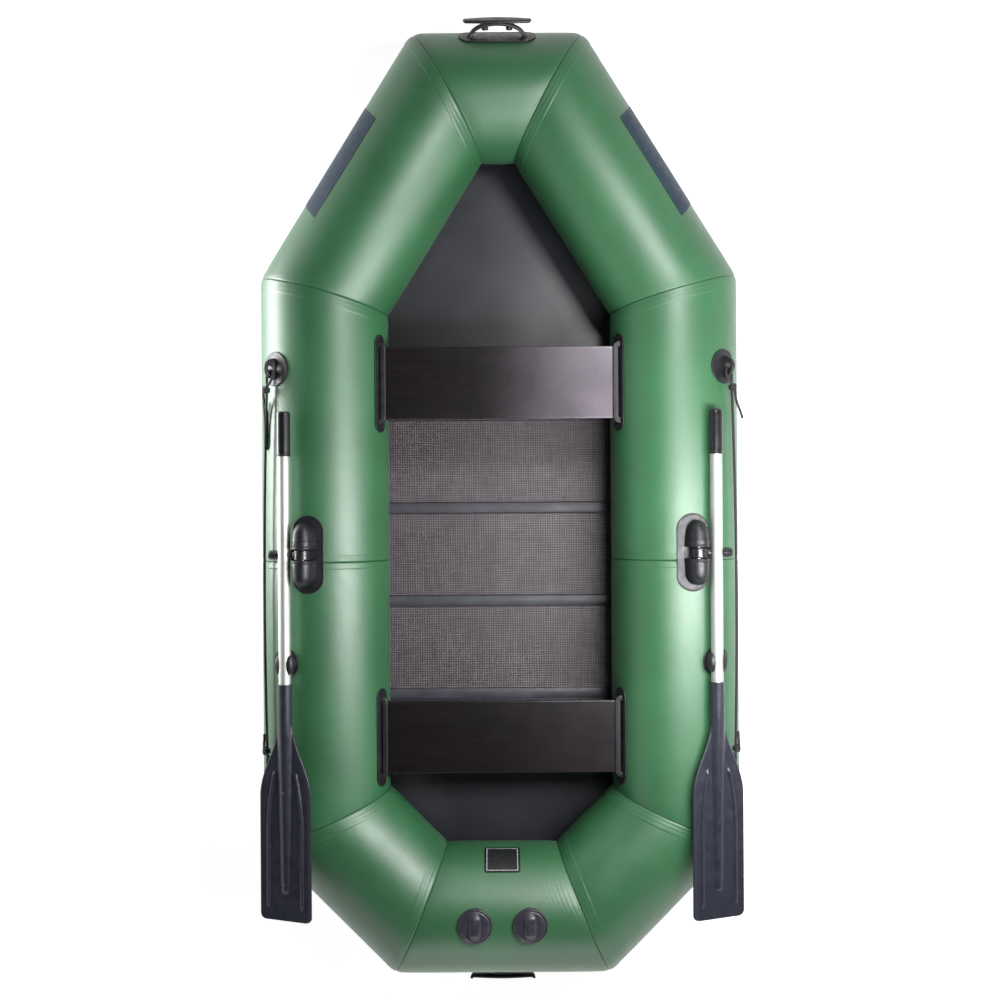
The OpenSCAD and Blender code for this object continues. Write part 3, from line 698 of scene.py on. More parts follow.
# board with rounded corners and edges and a fine grid on top, built in rows along Y
def addBoard(shape, lo, hi, corner, edge, grid, reliefAt=None):
    (nx, ny), mid, half = grid, (lo + hi) / 2, (hi - lo) / 2
    ends = [0.0, edge * 0.3, edge * 0.65, edge, edge * 1.6, corner * 0.4, corner * 0.7, corner]
    ends = sorted(e for e in ends if e <= corner)
    inner = [ends[-1] + (2 * half.y - 2 * ends[-1]) * k / ny for k in range(1, ny)]
    rows = ends + inner + [2 * half.y - e for e in reversed(ends)]
    arc = [(math.sin(math.pi / 6 * k), math.cos(math.pi / 6 * k)) for k in range(1, 4)]
    rings = []
    for d in rows:
        near = min(d, 2 * half.y - d)
        x = half.x
        if near < corner:
            x -= corner - math.sqrt(corner ** 2 - (corner - near) ** 2)
        drop = edge - math.sqrt(edge ** 2 - (edge - near) ** 2) if near < edge else 0.0
        top, low = hi.z - drop, lo.z + drop * 0.7
        e = max(0.0003, min(edge, (top - low) * 0.45))
        y = lo.y + d
        loop = []
        for i in range(nx + 1):
            u = (x - e) * (2 * i / nx - 1)
            raised = reliefAt(mid.x + u, y) if reliefAt and 0 < i < nx and near > edge else 0.0
            loop.append(Vector((mid.x + u, y, top + raised)))
        loop += [Vector((mid.x + x - e + e * s, y, top - e + e * c)) for s, c in arc]
        loop += [Vector((mid.x + x - e + e * c, y, low + e - e * s)) for s, c in arc]
        loop += [Vector((mid.x + (x - e) * (1 - 2 * k / 8), y, low)) for k in range(1, 8)]
        loop += [Vector((mid.x - x + e - e * c, y, low + e - e * s)) for s, c in reversed(arc)]
        loop += [Vector((mid.x - x + e - e * s, y, top - e + e * c)) for s, c in reversed(arc)]
        rings.append(loop)
    return addLoft(shape, rings)


# plywood slats under an anti-slip net
slatSet = {
    "thread": srgb(101, 91, 97),
    "gap": srgb(30, 26, 30),
    "worn": srgb(115, 106, 109),
    "edge": srgb(96, 78, 66),
    "mesh": 0.0032,  # half the spacing of the net's threads
    "lift": 0.0005,  # height of the net
    "roughness": 0.5,
    "corner": 0.012,
    "round": 0.0018,
    "grid": (170, 60),  # points across and along
}


def slatFinish(c):
    mat, tree, shader = newFinish("slatNet", c["thread"], c["roughness"])
    place = placeOf(tree)
    split = node(tree, "ShaderNodeSeparateXYZ")
    tree.links.new(place, split.inputs[0])
    net = maths(tree, "MAXIMUM", *(bands(tree, way, 2 * c["mesh"], place, distort=0.25) for way in "XY"))
    # fibres that run both ways, seen as flecks where they cross
    fibres = maths(tree, "MULTIPLY", *(grain(tree, 1.0, 3, vector=stretched(tree, scale))
                                       for scale in ((240.0, 24.0, 40.0), (30.0, 300.0, 40.0))))
    worn = cloudy(tree, 9, 5, (0.45, 0.75), c["thread"], c["worn"])
    held = maths(tree, "MULTIPLY", between(tree, net, 0.5, 0.97), between(tree, fibres, 0.12, 0.36, 0.4, 1.1))
    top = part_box("floor_slat_front")[1].z
    onTop = between(tree, split.outputs["Z"], top - 0.0026, top - 0.0018)
    colourOf(tree, shader, tint(tree, onTop, c["edge"], tint(tree, held, c["gap"], worn)))
    roughOf(tree, shader, between(tree, net, 0.0, 1.0, 0.65, 0.46))
    relief = bump(tree, shader, net, 0.0007, 0.6)
    bump(tree, shader, fibres, 0.0008, 0.5, relief)
    return mat


def makeSlats(c):
    finish = slatFinish(c)
    for i, part in enumerate(("front", "middle", "rear")):
        lo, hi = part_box("floor_slat_" + part)

        def netAt(x, y):
            knot = math.sin(x / c["mesh"] * math.pi) * math.sin(y / c["mesh"] * math.pi)
            slow = noise.noise(Vector((x * 5 + i * 7, y * 7, 3.0)))
            fine = noise.noise(Vector((x * 210, y * 150, i)))
            return c["lift"] * (0.3 * knot + 0.4 * fine + 0.3 * slow) - c["lift"]

        shape = addBoard(newShape(), lo, hi, c["corner"], c["round"], c["grid"], netAt)
        makePiece(part + "Slat", shape, finish, "hull", "slat_wood", "floor_slat_" + part, 50)


makeSlats(slatSet)
print("slats made")

# seat planks of film-faced plywood
seatSet = {
    "film": srgb(16, 12, 15),
    "thin": srgb(23, 18, 21),
    "paintedSheen": srgb(118, 110, 120),  # painted sheen, lighter toward one end of the front seat
    # how much of the painted sheen each seat gets
    "paintedSheenShare": {"front": 1.0, "rear": 0.06},
    "roughness": 0.28,
    "press": 0.0022,  # spacing of the mesh pressed into the film
    "corner": 0.01,
    "round": 0.0028,
    "grid": (40, 14),
}


def seatFinish(name, c, paintedSheenShare):
    mat, tree, shader = newFinish(name, c["film"], c["roughness"])
    split = node(tree, "ShaderNodeSeparateXYZ")
    tree.links.new(placeOf(tree), split.inputs[0])
    veins = grain(tree, 2.2, 6, 0.65, stretched(tree, (3.0, 60.0, 60.0)))  # the veneer runs across the boat
    film = tint(tree, between(tree, veins, 0.42, 0.66), c["film"], c["thin"])
    clouds = between(tree, grain(tree, 9, 3), 0.3, 0.7, 0.65, 1.0)
    # painted sheen: the film is made lighter toward the plank's +X end, broken up by clouds
    worn = maths(tree, "POWER", between(tree, split.outputs["X"], -0.05, 0.27), 1.5)
    worn = maths(tree, "MULTIPLY", maths(tree, "MULTIPLY", worn, clouds), paintedSheenShare)
    colourOf(tree, shader, tint(tree, worn, film, c["paintedSheen"]))
    roughDrift(tree, shader, 22, 3, c["roughness"], 0.01, 0.02)
    fine = bump(tree, shader, weave(tree, c["press"], placeOf(tree)), 0.00005, 0.5)
    bump(tree, shader, veins, 0.00012, 0.3, fine)
    return mat


def makeSeats(c):
    for part, paintedSheenShare in c["paintedSheenShare"].items():
        lo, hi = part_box(part + "_seat")
        shape = addBoard(newShape(), lo, hi, c["corner"], c["round"], c["grid"])
        finish = seatFinish(part + "SeatFilm", c, paintedSheenShare)
        makePiece(part + "Seat", shape, finish, "hull", "seat_wood", part + "_seat", 55)


makeSeats(seatSet)

# moulded rubber and plastic of the fittings
rubberSet = {
    "black": srgb(24, 24, 29),
    "chalk": srgb(48, 48, 54),
    "roughness": 0.42,
    "softRoughness": 0.27,
}


def rubberFinish(name, black, chalk, rough, speckle=900.0, lift=0.00008):
    mat, tree, shader = newFinish(name, black, rough)
    dusty = between(tree, grain(tree, 38, 6), 0.5, 0.8)
    colourOf(tree, shader, tint(tree, maths(tree, "MULTIPLY", dusty, 0.5), black, chalk))
    roughDrift(tree, shader, 70, 5, rough, 0.07, 0.12)
    fine = bump(tree, shader, grain(tree, speckle, 2), lift, 0.6)
    bump(tree, shader, grain(tree, 45, 4), 0.0006, 0.25, fine)
    return mat


blackRubber = rubberFinish("blackRubber", rubberSet["black"], rubberSet["chalk"], rubberSet["roughness"])
softPlastic = rubberFinish("softPlastic", rubberSet["black"], rubberSet["chalk"], rubberSet["softRoughness"],
                           1400.0, 0.00005)


def offTube(p):  # keeps a point of a fitting outside the side tube
    reach = tubeR + glueGap
    away = Vector((p.x - sideX, 0, p.z - axisZ))
    if 1e-6 < away.length < reach:
        away = away.normalized() * reach
        return Vector((sideX + away.x, p.y, axisZ + away.z))
    return p


# glued pad that follows the tube, stepped down by rib inside its rim
def addPad(shape, place, length, width, thick, rib, arc=20, straight=10):
    steps, top, reach = 6, thick - glueGap, width / 2
    profile = [(reach * (1 - k / steps), 0.0) for k in range(steps)]
    profile += [(0.0006, 0.0), (0.0, 0.0006)]
    profile += [(inset, top - drop) for inset, drop in quarterRound(0.0014)]
    profile += [(0.0032, top), (0.004, top - rib), (0.0055, top - rib * 1.2)]
    inset, level = profile[-1]
    profile += [(inset + (reach - inset) * (k / steps), level) for k in range(1, steps + 1)]
    addSlab(shape, lambda inset: stadiumLoop(length, width, inset, arc, straight),
            lambda u, v, h: place(u, v, h + glueGap), profile)


def addSidePad(shape, y, angle, *sizes, **points):
    addPad(shape, lambda u, v, h: onSide(y + u, angle, v, h), *sizes, **points)


def addRoundPad(shape, y, angle, radius, thick, rib):
    addSidePad(shape, y, angle, 2 * radius, 2 * radius, thick, rib, arc=32, straight=1)


def mirrored(shape):  # the shape and its twin on the other side
    n = len(shape["verts"])
    shape["verts"] += [(-x, y, z) for x, y, z in shape["verts"]]
    shape["faces"] += [tuple(reversed([v + n for v in face])) for face in shape["faces"]]
    shape["uvs"] += [tuple(reversed(face)) for face in shape["uvs"]]
    shape["seam"] += shape["seam"]
    return shape


# brackets that hold the planks
bracketSet = {
    "padLength": 0.247,
    "padWidth": 0.046,
    "padThick": 0.0037,
    "padRib": 0.0009,
    "lip": 0.0043,  # of the rail above and below the plank
    "overlap": 0.010,  # of the lips over the plank's end
    "depth": 0.034,
    "longer": 0.0246,  # than the plank is wide
    "slack": 0.0003,  # between plank and bracket
    "round": 0.0026,
    "endRound": 0.018,
    "bead": ((0.005, -0.0001), (0.0055, 0.0005), (0.0095, 0.0006), (0.0135, 0.0)),  # (inset, rise) on the upper lip
}


def makeBrackets(part, c):
    seatLow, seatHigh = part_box(part + "_seat")
    y, midZ = (seatLow.y + seatHigh.y) / 2, (seatLow.z + seatHigh.z) / 2
    angle = -math.degrees(math.acos((midZ - axisZ) / tubeR))
    railLow, railHigh = seatLow.z - c["lip"], seatHigh.z + c["lip"]
    slotLow, slotHigh = seatLow.z - c["slack"], seatHigh.z + c["slack"]
    planX = seatHigh.x - c["overlap"]  # inboard edge of the rail
    length = seatHigh.y - seatLow.y + c["longer"]
    back, slot = c["depth"] / 2, (seatHigh.y - seatLow.y) / 2 + c["slack"]
    deep = seatHigh.x + c["slack"] - planX - back
    edge = quarterRound(c["round"])
    shape = newShape()
    addSidePad(shape, y, angle, c["padLength"], c["padWidth"], c["padThick"], c["padRib"], straight=22)

    def railLoop(inset):
        return rectLoop(c["depth"], length, c["endRound"], inset, arc=10, nx=4, ny=24)

    def onRail(u, v, h):
        return offTube(Vector((planX + back + u, y + v, h)))

    def flatAt(level):  # the lip's face toward the plank
        return [(0.011 * (1 - k / 3), level) for k in range(3)] + [(0.0003, level)]

    upper = [(inset, railHigh - drop) for inset, drop in edge] + [(inset, railHigh + e) for inset, e in c["bead"]]
    lower = [(inset, railLow + drop) for inset, drop in edge] + [(0.008, railLow), (0.0135, railLow)]
    addSlab(shape, railLoop, onRail, flatAt(slotHigh) + upper)
    addSlab(shape, railLoop, onRail, flatAt(slotLow) + lower)
    # the wall behind the plank's end and the two end blocks
    plan = [p for p in railLoop(0.0) if p[0] > -back + 0.0001 or abs(p[1]) > slot]
    plan.sort(key=lambda p: math.atan2(p[1], p[0] + back * 0.98))
    wall = [(-back, slot), (deep, slot), (deep, -slot), (-back, -slot)] + plan
    addLoft(shape, [[onRail(u, v, z) for u, v in wall] for z in (slotLow, midZ, slotHigh)], caps=(False, False))
    makePiece(part + "SeatBrackets", mirrored(shape), blackRubber, "hull", "fittings", part + "_seat_brackets", 42)


makeBrackets("front", bracketSet)
makeBrackets("rear", bracketSet)
print("seats and brackets made")

# oarlocks: base with two humps, swivel on the steel axle, cap
lockSet = {
    "padLength": 0.193,
    "padWidth": 0.080,
    "thick": 0.0037,
    "padRib": 0.0007,
    "padTurn": 2,  # degrees that the pad sits inboard of the axle
    "humpRadius": 0.0265,
    "humpStart": 0.0138,
    "humpCentre": 0.0525,  # where the rounded end begins
    "taper": 0.16,
    "height": 0.026,  # of the axle above the tube
    "foot": 0.0035,  # spread of the humps' feet into the pad
    "sunk": 0.004,
    "split": 0.033,  # groove across the forward hump
    "splitDeep": 0.0014,
    "lower": 0.0025,  # how far the forward hump falls past its groove
    "pinSlope": 18.0,
    "pinReach": 0.0484,
    "shaftRadius": 0.015,
    "slack": 0.0003,  # between the cap's saddle and the shaft
    "swivelHalf": 0.0127,
    "swivelRadius": 0.020,
    "neck": (  # (radius, distance from the axle)
        (0.0124, 0.0140), (0.0124, 0.0172), (0.0112, 0.0196), (0.0108, 0.0212), (0.0119, 0.0236), (0.0125, 0.0262),
        (0.0126, 0.0280), (0.0122, 0.0300), (0.0112, 0.0318), (0.0098, 0.0330), (0.0060, 0.0334), (0.0060, 0.0760)),
    "cap": (  # (radius, distance from the saddle that lies on the shaft)
        (0.0064, -0.0060), (0.0110, -0.0060), (0.0115, -0.0052), (0.0115, 0.0040), (0.0108, 0.0046), (0.0104, 0.0052),
        (0.0104, 0.0060), (0.0110, 0.0068), (0.0115, 0.0080), (0.0115, 0.0200), (0.0110, 0.0222), (0.0098, 0.0240),
        (0.0084, 0.0252), (0.0060, 0.0259), (0.0030, 0.0260)),
    "flute": 0.0006,  # depth of the cap's grip grooves
    "fluted": (0.0076, 0.021),
}

axleLow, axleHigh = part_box("oarlock_axle_right")
axleMid = (axleLow + axleHigh) / 2
lockAngle = math.degrees(math.atan2(axleMid.x - sideX, axleMid.z - axisZ))
slope = math.radians(lockSet["pinSlope"])
pinWay = Vector((math.cos(slope), 0, -math.sin(slope)))
liftWay = offAxis(lockSet["pinSlope"])
shaftMid = axleMid + pinWay * lockSet["pinReach"]
oarRoot = Vector((shaftMid.x, 0, shaftMid.z))


def humpHalf(d, way, c):  # half width of a hump, d from the oarlock's middle
    radius, split = c["humpRadius"], c["split"]
    end, near = c["humpCentre"] + radius, d - c["humpStart"]
    w = math.sqrt(max(1e-8, radius ** 2 - max(0.0, d - c["humpCentre"]) ** 2))
    w *= 1 - c["taper"] * near / (end - c["humpStart"])
    w -= 0.0016 * max(0.0, 1 - near / 0.0016) ** 2  # rounded inner edge
    if 0.0055 < near < 0.0075:
        w -= 0.0006
    if way > 0:
        w -= c["splitDeep"] if abs(d - split) < 0.001 else 0
        w -= c["lower"] * max(0.0, (d - split) / (end - split))
    return max(w, 0.0004)


def makeLockBases(c):
    up, root = offAxis(lockAngle), onSide(axleMid.y, lockAngle, 0, 0)
    across = Vector((up.z, 0, -up.x))
    shape = newShape()
    addSidePad(shape, axleMid.y, lockAngle - c["padTurn"], c["padLength"], c["padWidth"], c["thick"], c["padRib"],
               straight=14)
    marks = [c["humpStart"] + e for e in (0, 0.0006, 0.0016, 0.003, 0.0055, 0.0062, 0.0075)]
    marks += [c["split"] + e for e in (-0.003, -0.0013, -0.0007, 0.0007, 0.0013, 0.003)] + [0.040, 0.046]
    marks += [c["humpCentre"] + c["humpRadius"] * math.sin(math.pi / 2 * k / 12) for k in range(13)]
    foot = [(c["foot"] * (k / 8) ** 3, c["height"] * (1 - k / 8) - c["sunk"] * k / 8) for k in range(1, 9)]
    for way in (1, -1):
        rings = []
        for d in sorted(marks):
            w = humpHalf(d, way, c)
            crest = w * (0.96 if way > 0 else 1.0)
            arc = [math.pi * k / 24 for k in range(25)]
            loop = [(w * math.cos(t), c["height"] + crest * math.sin(t)) for t in arc]
            loop += [(-w - spread, z) for spread, z in foot]
            loop += [(w + spread, z) for spread, z in reversed(foot[:-1])]
            rings.append([offTube(root + across * x + up * z + Vector((0, way * d, 0))) for x, z in loop])
        addLoft(shape, rings)
    makeBothSides([("oarlockBase", "oarlock_base_", shape, blackRubber, "fittings", 44)])


makeLockBases(lockSet)


def metalFinish(name, colour, rough, brushed):  # brushed scales the streaks along each axis
    mat, tree, shader = newFinish(name, colour, rough, metal=1.0)
    lines = grain(tree, 1.0, 4, vector=stretched(tree, brushed))
    dull = tuple(c * 0.86 for c in colour[:3]) + (1.0,)
    colourOf(tree, shader, tint(tree, between(tree, lines, 0.35, 0.65), colour, dull))
    roughOf(tree, shader, between(tree, lines, 0.3, 0.7, rough - 0.06, rough + 0.08))
    bump(tree, shader, lines, 0.00008, 0.5)
    return mat


axleSteel = metalFinish("axleSteel", srgb(176, 178, 182), 0.3, (600.0, 30.0, 600.0))
for mirror, tail in bothSides:
    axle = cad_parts["oarlock_axle_" + tail.lower()]
    axle.data.materials.clear()
    axle.data.materials.append(axleSteel)


def onOar(u, v, w):  # place on the right oar: u outboard, v forward, w the way it lifts
    return oarRoot + pinWay * u + Vector((0, v, 0)) + liftWay * w


def makeSwivels(c):
    swivel, cap = newShape(), newShape()
    half, outer, bore = c["swivelHalf"], c["swivelRadius"], (axleHigh.x - axleLow.x) / 2 + 0.0001
    profile = roundedEdge(outer, -half, half, 0.0028)
    profile.insert(len(profile) // 2, (outer - 0.0009, 0.0))
    profile += [(bore + 0.0008, half), (bore, half - 0.0008), (bore, -half + 0.0008), (bore + 0.0008, -half)]
    addTurned(swivel, axleMid, (0, 1, 0), profile + profile[:1], sides=48, side=pinWay, caps=(False, False))
    addTurned(swivel, axleMid, pinWay, c["neck"], sides=36, side=(0, 1, 0))
    saddle = c["shaftRadius"] + c["slack"]
    flat = c["pinReach"] + c["shaftRadius"] + c["slack"]
    rings = []
    for r, past in c["cap"]:
        d, loop = flat + past, []
        fluted = flat + c["fluted"][0] < d < flat + c["fluted"][1]
        for k in range(48):
            t = 2 * math.pi * k / 48
            q = r - (c["flute"] if k % 4 > 1 and fluted else 0.0)
            u, v = q * math.cos(t), q * math.sin(t)
            room = math.sqrt(max(0.0, saddle ** 2 - u * u))  # the cap is hollowed for the shaft
            along = max(d, c["pinReach"] + room) if d < flat + 0.001 else d
            loop.append(axleMid + pinWay * along + liftWay * u + Vector((0, v, 0)))
        rings.append(loop)
    addLoft(cap, rings)
    makeBothSides([("oarlockSwivel", "oarlock_swivel_", swivel, softPlastic, "fittings", 38),
                   ("oarlockCap", "oarlock_cap_", cap, softPlastic, "fittings", 38)], onOar=True)


makeSwivels(lockSet)
print("oarlocks made")

# oars; places along them are metres forward of the hull's middle
oarSet = {
    "shaftEnd": -0.520,
    "shaftTop": 0.216,
    "gripStart": 0.116,
    "gripEnd": 0.226,
    "gripRadius": 0.0172,
    "gripCollar": (  # (added to the radius, distance from the grip's start)
        (0.0006, 0), (0.0014, 0.0008), (0.0014, 0.0028), (0.0004, 0.0036), (-0.0004, 0.0050), (-0.0003, 0.012),
        (-0.0002, 0.03), (0, 0.055)),
    "gripTop": (  # (added to the radius, distance from the grip's end)
        (-0.0002, 0.024), (0, 0.018), (0, 0.006), (-0.0006, 0.0035), (-0.0020, 0.0015), (-0.0042, 0.0003),
        (-0.0080, 0)),
    "socketRadius": 0.0174,
    "socketStart": -0.441,
    "bladeStart": -0.530,
    "wide": -0.719,  # where the blade has its full width
    "half": 0.069,
    "thick": 0.005,
    "tip": -1.021,
    "slant": 0.003,  # the tip's outboard corner lies this much further forward
    "tipRound": 0.014,
    "rib": 0.0078,  # half width and height of the middle rib on the blade
    "ribStop": -0.953,
    "sideStart": -0.655,  # the two ribs that frame the blade
    "sideStop": 0.034,  # short of the tip
    "sideNear": 0.028,  # from the middle, where they start
    "sideSpread": 0.017,
    "sideHalf": 0.0046,
    "sideHigh": 0.0042,
    "rivets": ((-0.705, 0.0032, 0.0128), (-0.930, 0.0028, 0.0078), (-0.486, 0.0026, 0.0168)),  # (place, radius, height)
    "studs": ((0.0450, 0.040), (-0.0450, 0.030)),  # (outboard, forward of the tip)
    "blue": srgb(38, 40, 52),
    "worn": srgb(58, 60, 73),
    "grip": srgb(20, 20, 24),
    "gripWorn": srgb(30, 30, 34),
    "metal": srgb(208, 210, 207),
    "metalRoughness": 0.57,
}


def gripFinish(c):
    mat, tree, shader = newFinish("gripRubber", c["grip"], 0.28, specular=0.6)
    colourOf(tree, shader, cloudy(tree, 60, 5, (0.5, 0.8), c["grip"], c["gripWorn"]))
    roughOf(tree, shader, between(tree, grain(tree, 25, 3), 0.35, 0.7, 0.27, 0.31))
    bump(tree, shader, grain(tree, 900, 2), 0.00003, 0.3)
    return mat


def bladeFinish(c):
    mat, tree, shader = newFinish("bladePlastic", c["blue"], 0.36, specular=0.6)
    scratch = grain(tree, 3.0, 6, 0.7, stretched(tree, (60.0, 6.0, 60.0)))
    scuffed = maths(tree, "MULTIPLY", between(tree, scratch, 0.55, 0.8), 0.6)
    colourOf(tree, shader, tint(tree, scuffed, c["blue"], c["worn"]))
    roughOf(tree, shader, between(tree, grain(tree, 45, 5), 0.35, 0.7, 0.3, 0.46))
    fine = bump(tree, shader, grain(tree, 1100, 2), 0.00005, 0.5)
    bump(tree, shader, scratch, 0.00025, 0.3, fine)
    return mat


def bladeStops(c):  # places of the rings from the socket to the tip
    roundFrom = c["tip"] + c["tipRound"]
    rows = (0.0, 0.0006, 0.0016, 0.003, 0.008, 0.03, 0.06, 0.083, 0.086, 0.089)
    stops = [c["socketStart"] - r for r in rows]
    y = stops[-1]
    while y > roundFrom + 0.004:
        y -= 0.004
        stops.append(y)
    stops = [s for s in stops if s > roundFrom + 0.001]
    return stops + [c["tip"] + c["tipRound"] * (1 - math.sin(math.pi / 2 * k / 8)) for k in range(9)]


def bladeColumns():  # points across the blade, closer together at the ribs and the edges
    close = (0.985, 0.97, 0.955, 0.70, 0.665, 0.63, 0.6, 0.5, 0.28, 0.265, 0.25, 0.22, 0.17)
    even = [round(-1 + 2 * k / 84, 4) for k in range(85)]
    return sorted(set(even + [way * f for way in (-1, 1) for f in close]))


def addBlade(shape, c):
    socket, half, thick = c["socketRadius"], c["half"], c["thick"] / 2
    columns = bladeColumns()
    rings = []
    for v in bladeStops(c):
        flare = min(1.0, max(0.0, c["bladeStart"] - v) / (c["bladeStart"] - c["wide"]))
        w = socket + (half - socket) * (1 - math.cos(math.pi * flare)) / 2
        fromTip = v - c["tip"]
        if fromTip < c["tipRound"]:
            w -= c["tipRound"] - math.sqrt(max(0.0, c["tipRound"] ** 2 - (c["tipRound"] - fromTip) ** 2))
        if v > c["socketStart"] - 0.003:
            w -= 0.0012 * (1 - (c["socketStart"] - v) / 0.003)
        rib = c["rib"] + (socket - c["rib"]) * clamp((v - c["ribStop"]) / (c["bladeStart"] - c["ribStop"])) ** 0.85
        if v < c["ribStop"] + 0.008:
            rib *= math.sqrt(clamp((v - c["ribStop"] + 0.002) / 0.010))
        spread = clamp((c["sideStart"] - v) / 0.14)
        sideRib = c["sideNear"] + c["sideSpread"] * math.sin(math.pi / 2 * spread)
        sideOn = clamp((c["sideStart"] - v) / 0.006) * clamp((fromTip - c["sideStop"]) / 0.006)
        soft = min(1.0, flare / 0.25)  # from the round socket over to the moulded rib
        top = []
        for f in columns:
            u, rim = f * w, (1 - abs(f)) * w
            plate = thick * (0.35 + 0.65 * min(1.0, rim / 0.0022) ** 0.5)
            z = plate + 0.0010 * max(0.0, 1 - abs(rim - 0.004) / 0.0026) * flare
            if flare < 0.05:
                z = max(z, math.sqrt(max(0.0, w * w - u * u)) * (1 - flare / 0.05))
            if rib > 0.001:
                turned = max(0.0, rib * rib - u * u) ** 0.5
                moulded = plate + (0.97 * rib - plate) * max(0.0, 1 - (u / (rib + 0.003)) ** 2) ** 0.9
                z = max(z, (1 - soft) * turned + soft * moulded)
            away = abs(abs(u) - sideRib)
            if away < c["sideHalf"]:
                z = max(z, plate + sideOn * c["sideHigh"] * math.cos(away / c["sideHalf"] * math.pi / 2) ** 0.7)
            top.append((u, z))
        shift = c["slant"] * clamp((0.10 - fromTip) / 0.10)
        loop = top + [(u, -z) for u, z in reversed(top)]
        rings.append([onOar(u, v + shift * (u / half + 1) / 2, z) for u, z in loop])
    addLoft(shape, rings)
    for v, r, deep in c["rivets"]:
        dome = ((1, -0.004), (1, 0.0002), (0.9, 0.0009), (0.6, 0.0014), (0.2, 0.0016))
        addTurned(shape, onOar(0, v, 0), liftWay, [(r * f, deep + e) for f, e in dome], sides=16, side=(0, 1, 0))
    for u, v in c["studs"]:
        dome = ((0.0022, 0.001), (0.0022, 0.0040), (0.0018, 0.0046), (0.0008, 0.0049))
        addTurned(shape, onOar(u, c["tip"] + v, 0), liftWay, dome, sides=14, side=(0, 1, 0))
    return shape


def makeOars(c):
    shaftMetal = metalFinish("shaftMetal", c["metal"], c["metalRoughness"], (500.0, 30.0, 500.0))
    r, g = lockSet["shaftRadius"], c["gripRadius"]
    stops = [c["shaftEnd"], c["shaftEnd"] + 0.002, c["shaftEnd"] + 0.04] + [-0.42 + 0.03 * k for k in range(21)]
    profile = [(r, d) for d in stops + [c["shaftTop"] - 0.002]]
    profile[0] = (r - 0.001, c["shaftEnd"])
    profile.append((r - 0.001, c["shaftTop"]))
    rod = addTurned(newShape(), oarRoot, (0, 1, 0), profile, sides=64, side=pinWay)
    profile = [(r + 0.0003, c["gripStart"])] + [(g + e, c["gripStart"] + d) for e, d in c["gripCollar"]]
    profile += [(g + e, c["gripEnd"] - d) for e, d in c["gripTop"]]
    grip = addTurned(newShape(), oarRoot, (0, 1, 0), profile, sides=48, side=pinWay)
    makeBothSides([("oarShaft", "oar_shaft_", rod, shaftMetal, "shaft_metal", 38),
                   ("oarGrip", "oar_grip_", grip, gripFinish(c), "grips", 38),
                   ("oarBlade", "oar_blade_", addBlade(newShape(), c), bladeFinish(c), "blades", 50)], onOar=True)


makeOars(oarSet)
print("oars made")

# clips for the stowed shafts
clipSet = {
    "padRadius": 0.038,
    "padAngle": 31.0,
    "thick": 0.0037,
    "padRib": 0.0007,
    "room": 0.0162,  # radius inside the jaws
    "jaw": 0.023,  # half the jaws' length
    "jawThin": 0.0012,
    "jawFat": 0.0078,  # added at the middle of their length
    "wrap": 48,  # how far the jaws close over the shaft, degrees past its side
    "stem": (  # (radius, height from the shaft's axis)
        (0.025, -0.040), (0.025, -0.030), (0.0240, -0.027), (0.0225, -0.025), (0.0220, -0.0215), (0.0205, -0.0185),
        (0.015, -0.0175)),
}


def makeClips(c):
    clipLow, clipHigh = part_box("oar_clips")
    y = (clipLow.y + clipHigh.y) / 2
    shape = newShape()
    addRoundPad(shape, y, c["padAngle"], c["padRadius"], c["thick"], c["padRib"])
    centre = Vector((shaftMid.x, y, shaftMid.z))
    first = len(shape["verts"])
    addTurned(shape, centre, liftWay, c["stem"], sides=48, side=(0, 1, 0))
    shape["verts"][first:] = [tuple(offTube(Vector(p))) for p in shape["verts"][first:]]
    rings = []
    for k in range(21):
        along = c["jaw"] * math.sin((-1 + 2 * k / 20) * math.pi / 2)
        full = math.sqrt(max(0.0, 1 - (along / (c["jaw"] * 1.02)) ** 2))
        thick = c["jawThin"] + c["jawFat"] * full
        top = c["wrap"] * (0.25 + 0.75 * full)
        outer, inner = [], []
        for j in range(25):
            t = math.radians(-top + (180 + 2 * top) * j / 24)
            fat = thick * (1.0 if abs(t - math.pi / 2) > 0.9 else 0.85)
            lip = math.sin(min(1.0, min(j, 24 - j) / 3) * math.pi / 2) * 0.85 + 0.15  # thin at the lips
            for side, q in ((outer, c["room"] + fat * lip), (inner, c["room"])):
                side.append(centre + Vector((0, along, 0)) + pinWay * (-q * math.cos(t)) - liftWay * (q * math.sin(t)))
        rings.append(outer + inner[::-1])
    addLoft(shape, rings)
    makePiece("oarClips", mirrored(shape), blackRubber, "hull", "fittings", "oar_clips", 48)


makeClips(clipSet)

# lifeline eyes and ropes
lineSet = {
    "eyes": ((0.335, 42.5), (-0.665, 45.0)),  # (place along the tube, angle)
    "padRadius": 0.043,
    "thick": 0.0037,
    "padRib": 0.0007,
    "lugRadius": 0.025,
    "lugThick": 0.010,
    "lugHeight": 0.033,
    "hole": 0.008,
    "holeHeight": 0.016,
    "rope": 0.0034,
    "lay": 0.011,  # length of a turn of the braid
    "steps": 14,  # points along the run between the eyes
    "off": 16,  # middle of the run, off the tube, and
    "sag": 25,  # round it, both in millimetres
    "knotAt": (0.052, 0.0098, 0.0195),  # from the eye: along the run, round the tube, off it
    "knotRadius": 0.0078,
    "turns": 2.6,
    "knotLength": 0.015,
    "dark": srgb(20, 20, 22),
    "light": srgb(44, 44, 47),
    "fleck": srgb(120, 120, 122),
    "roughness": 0.62,
}


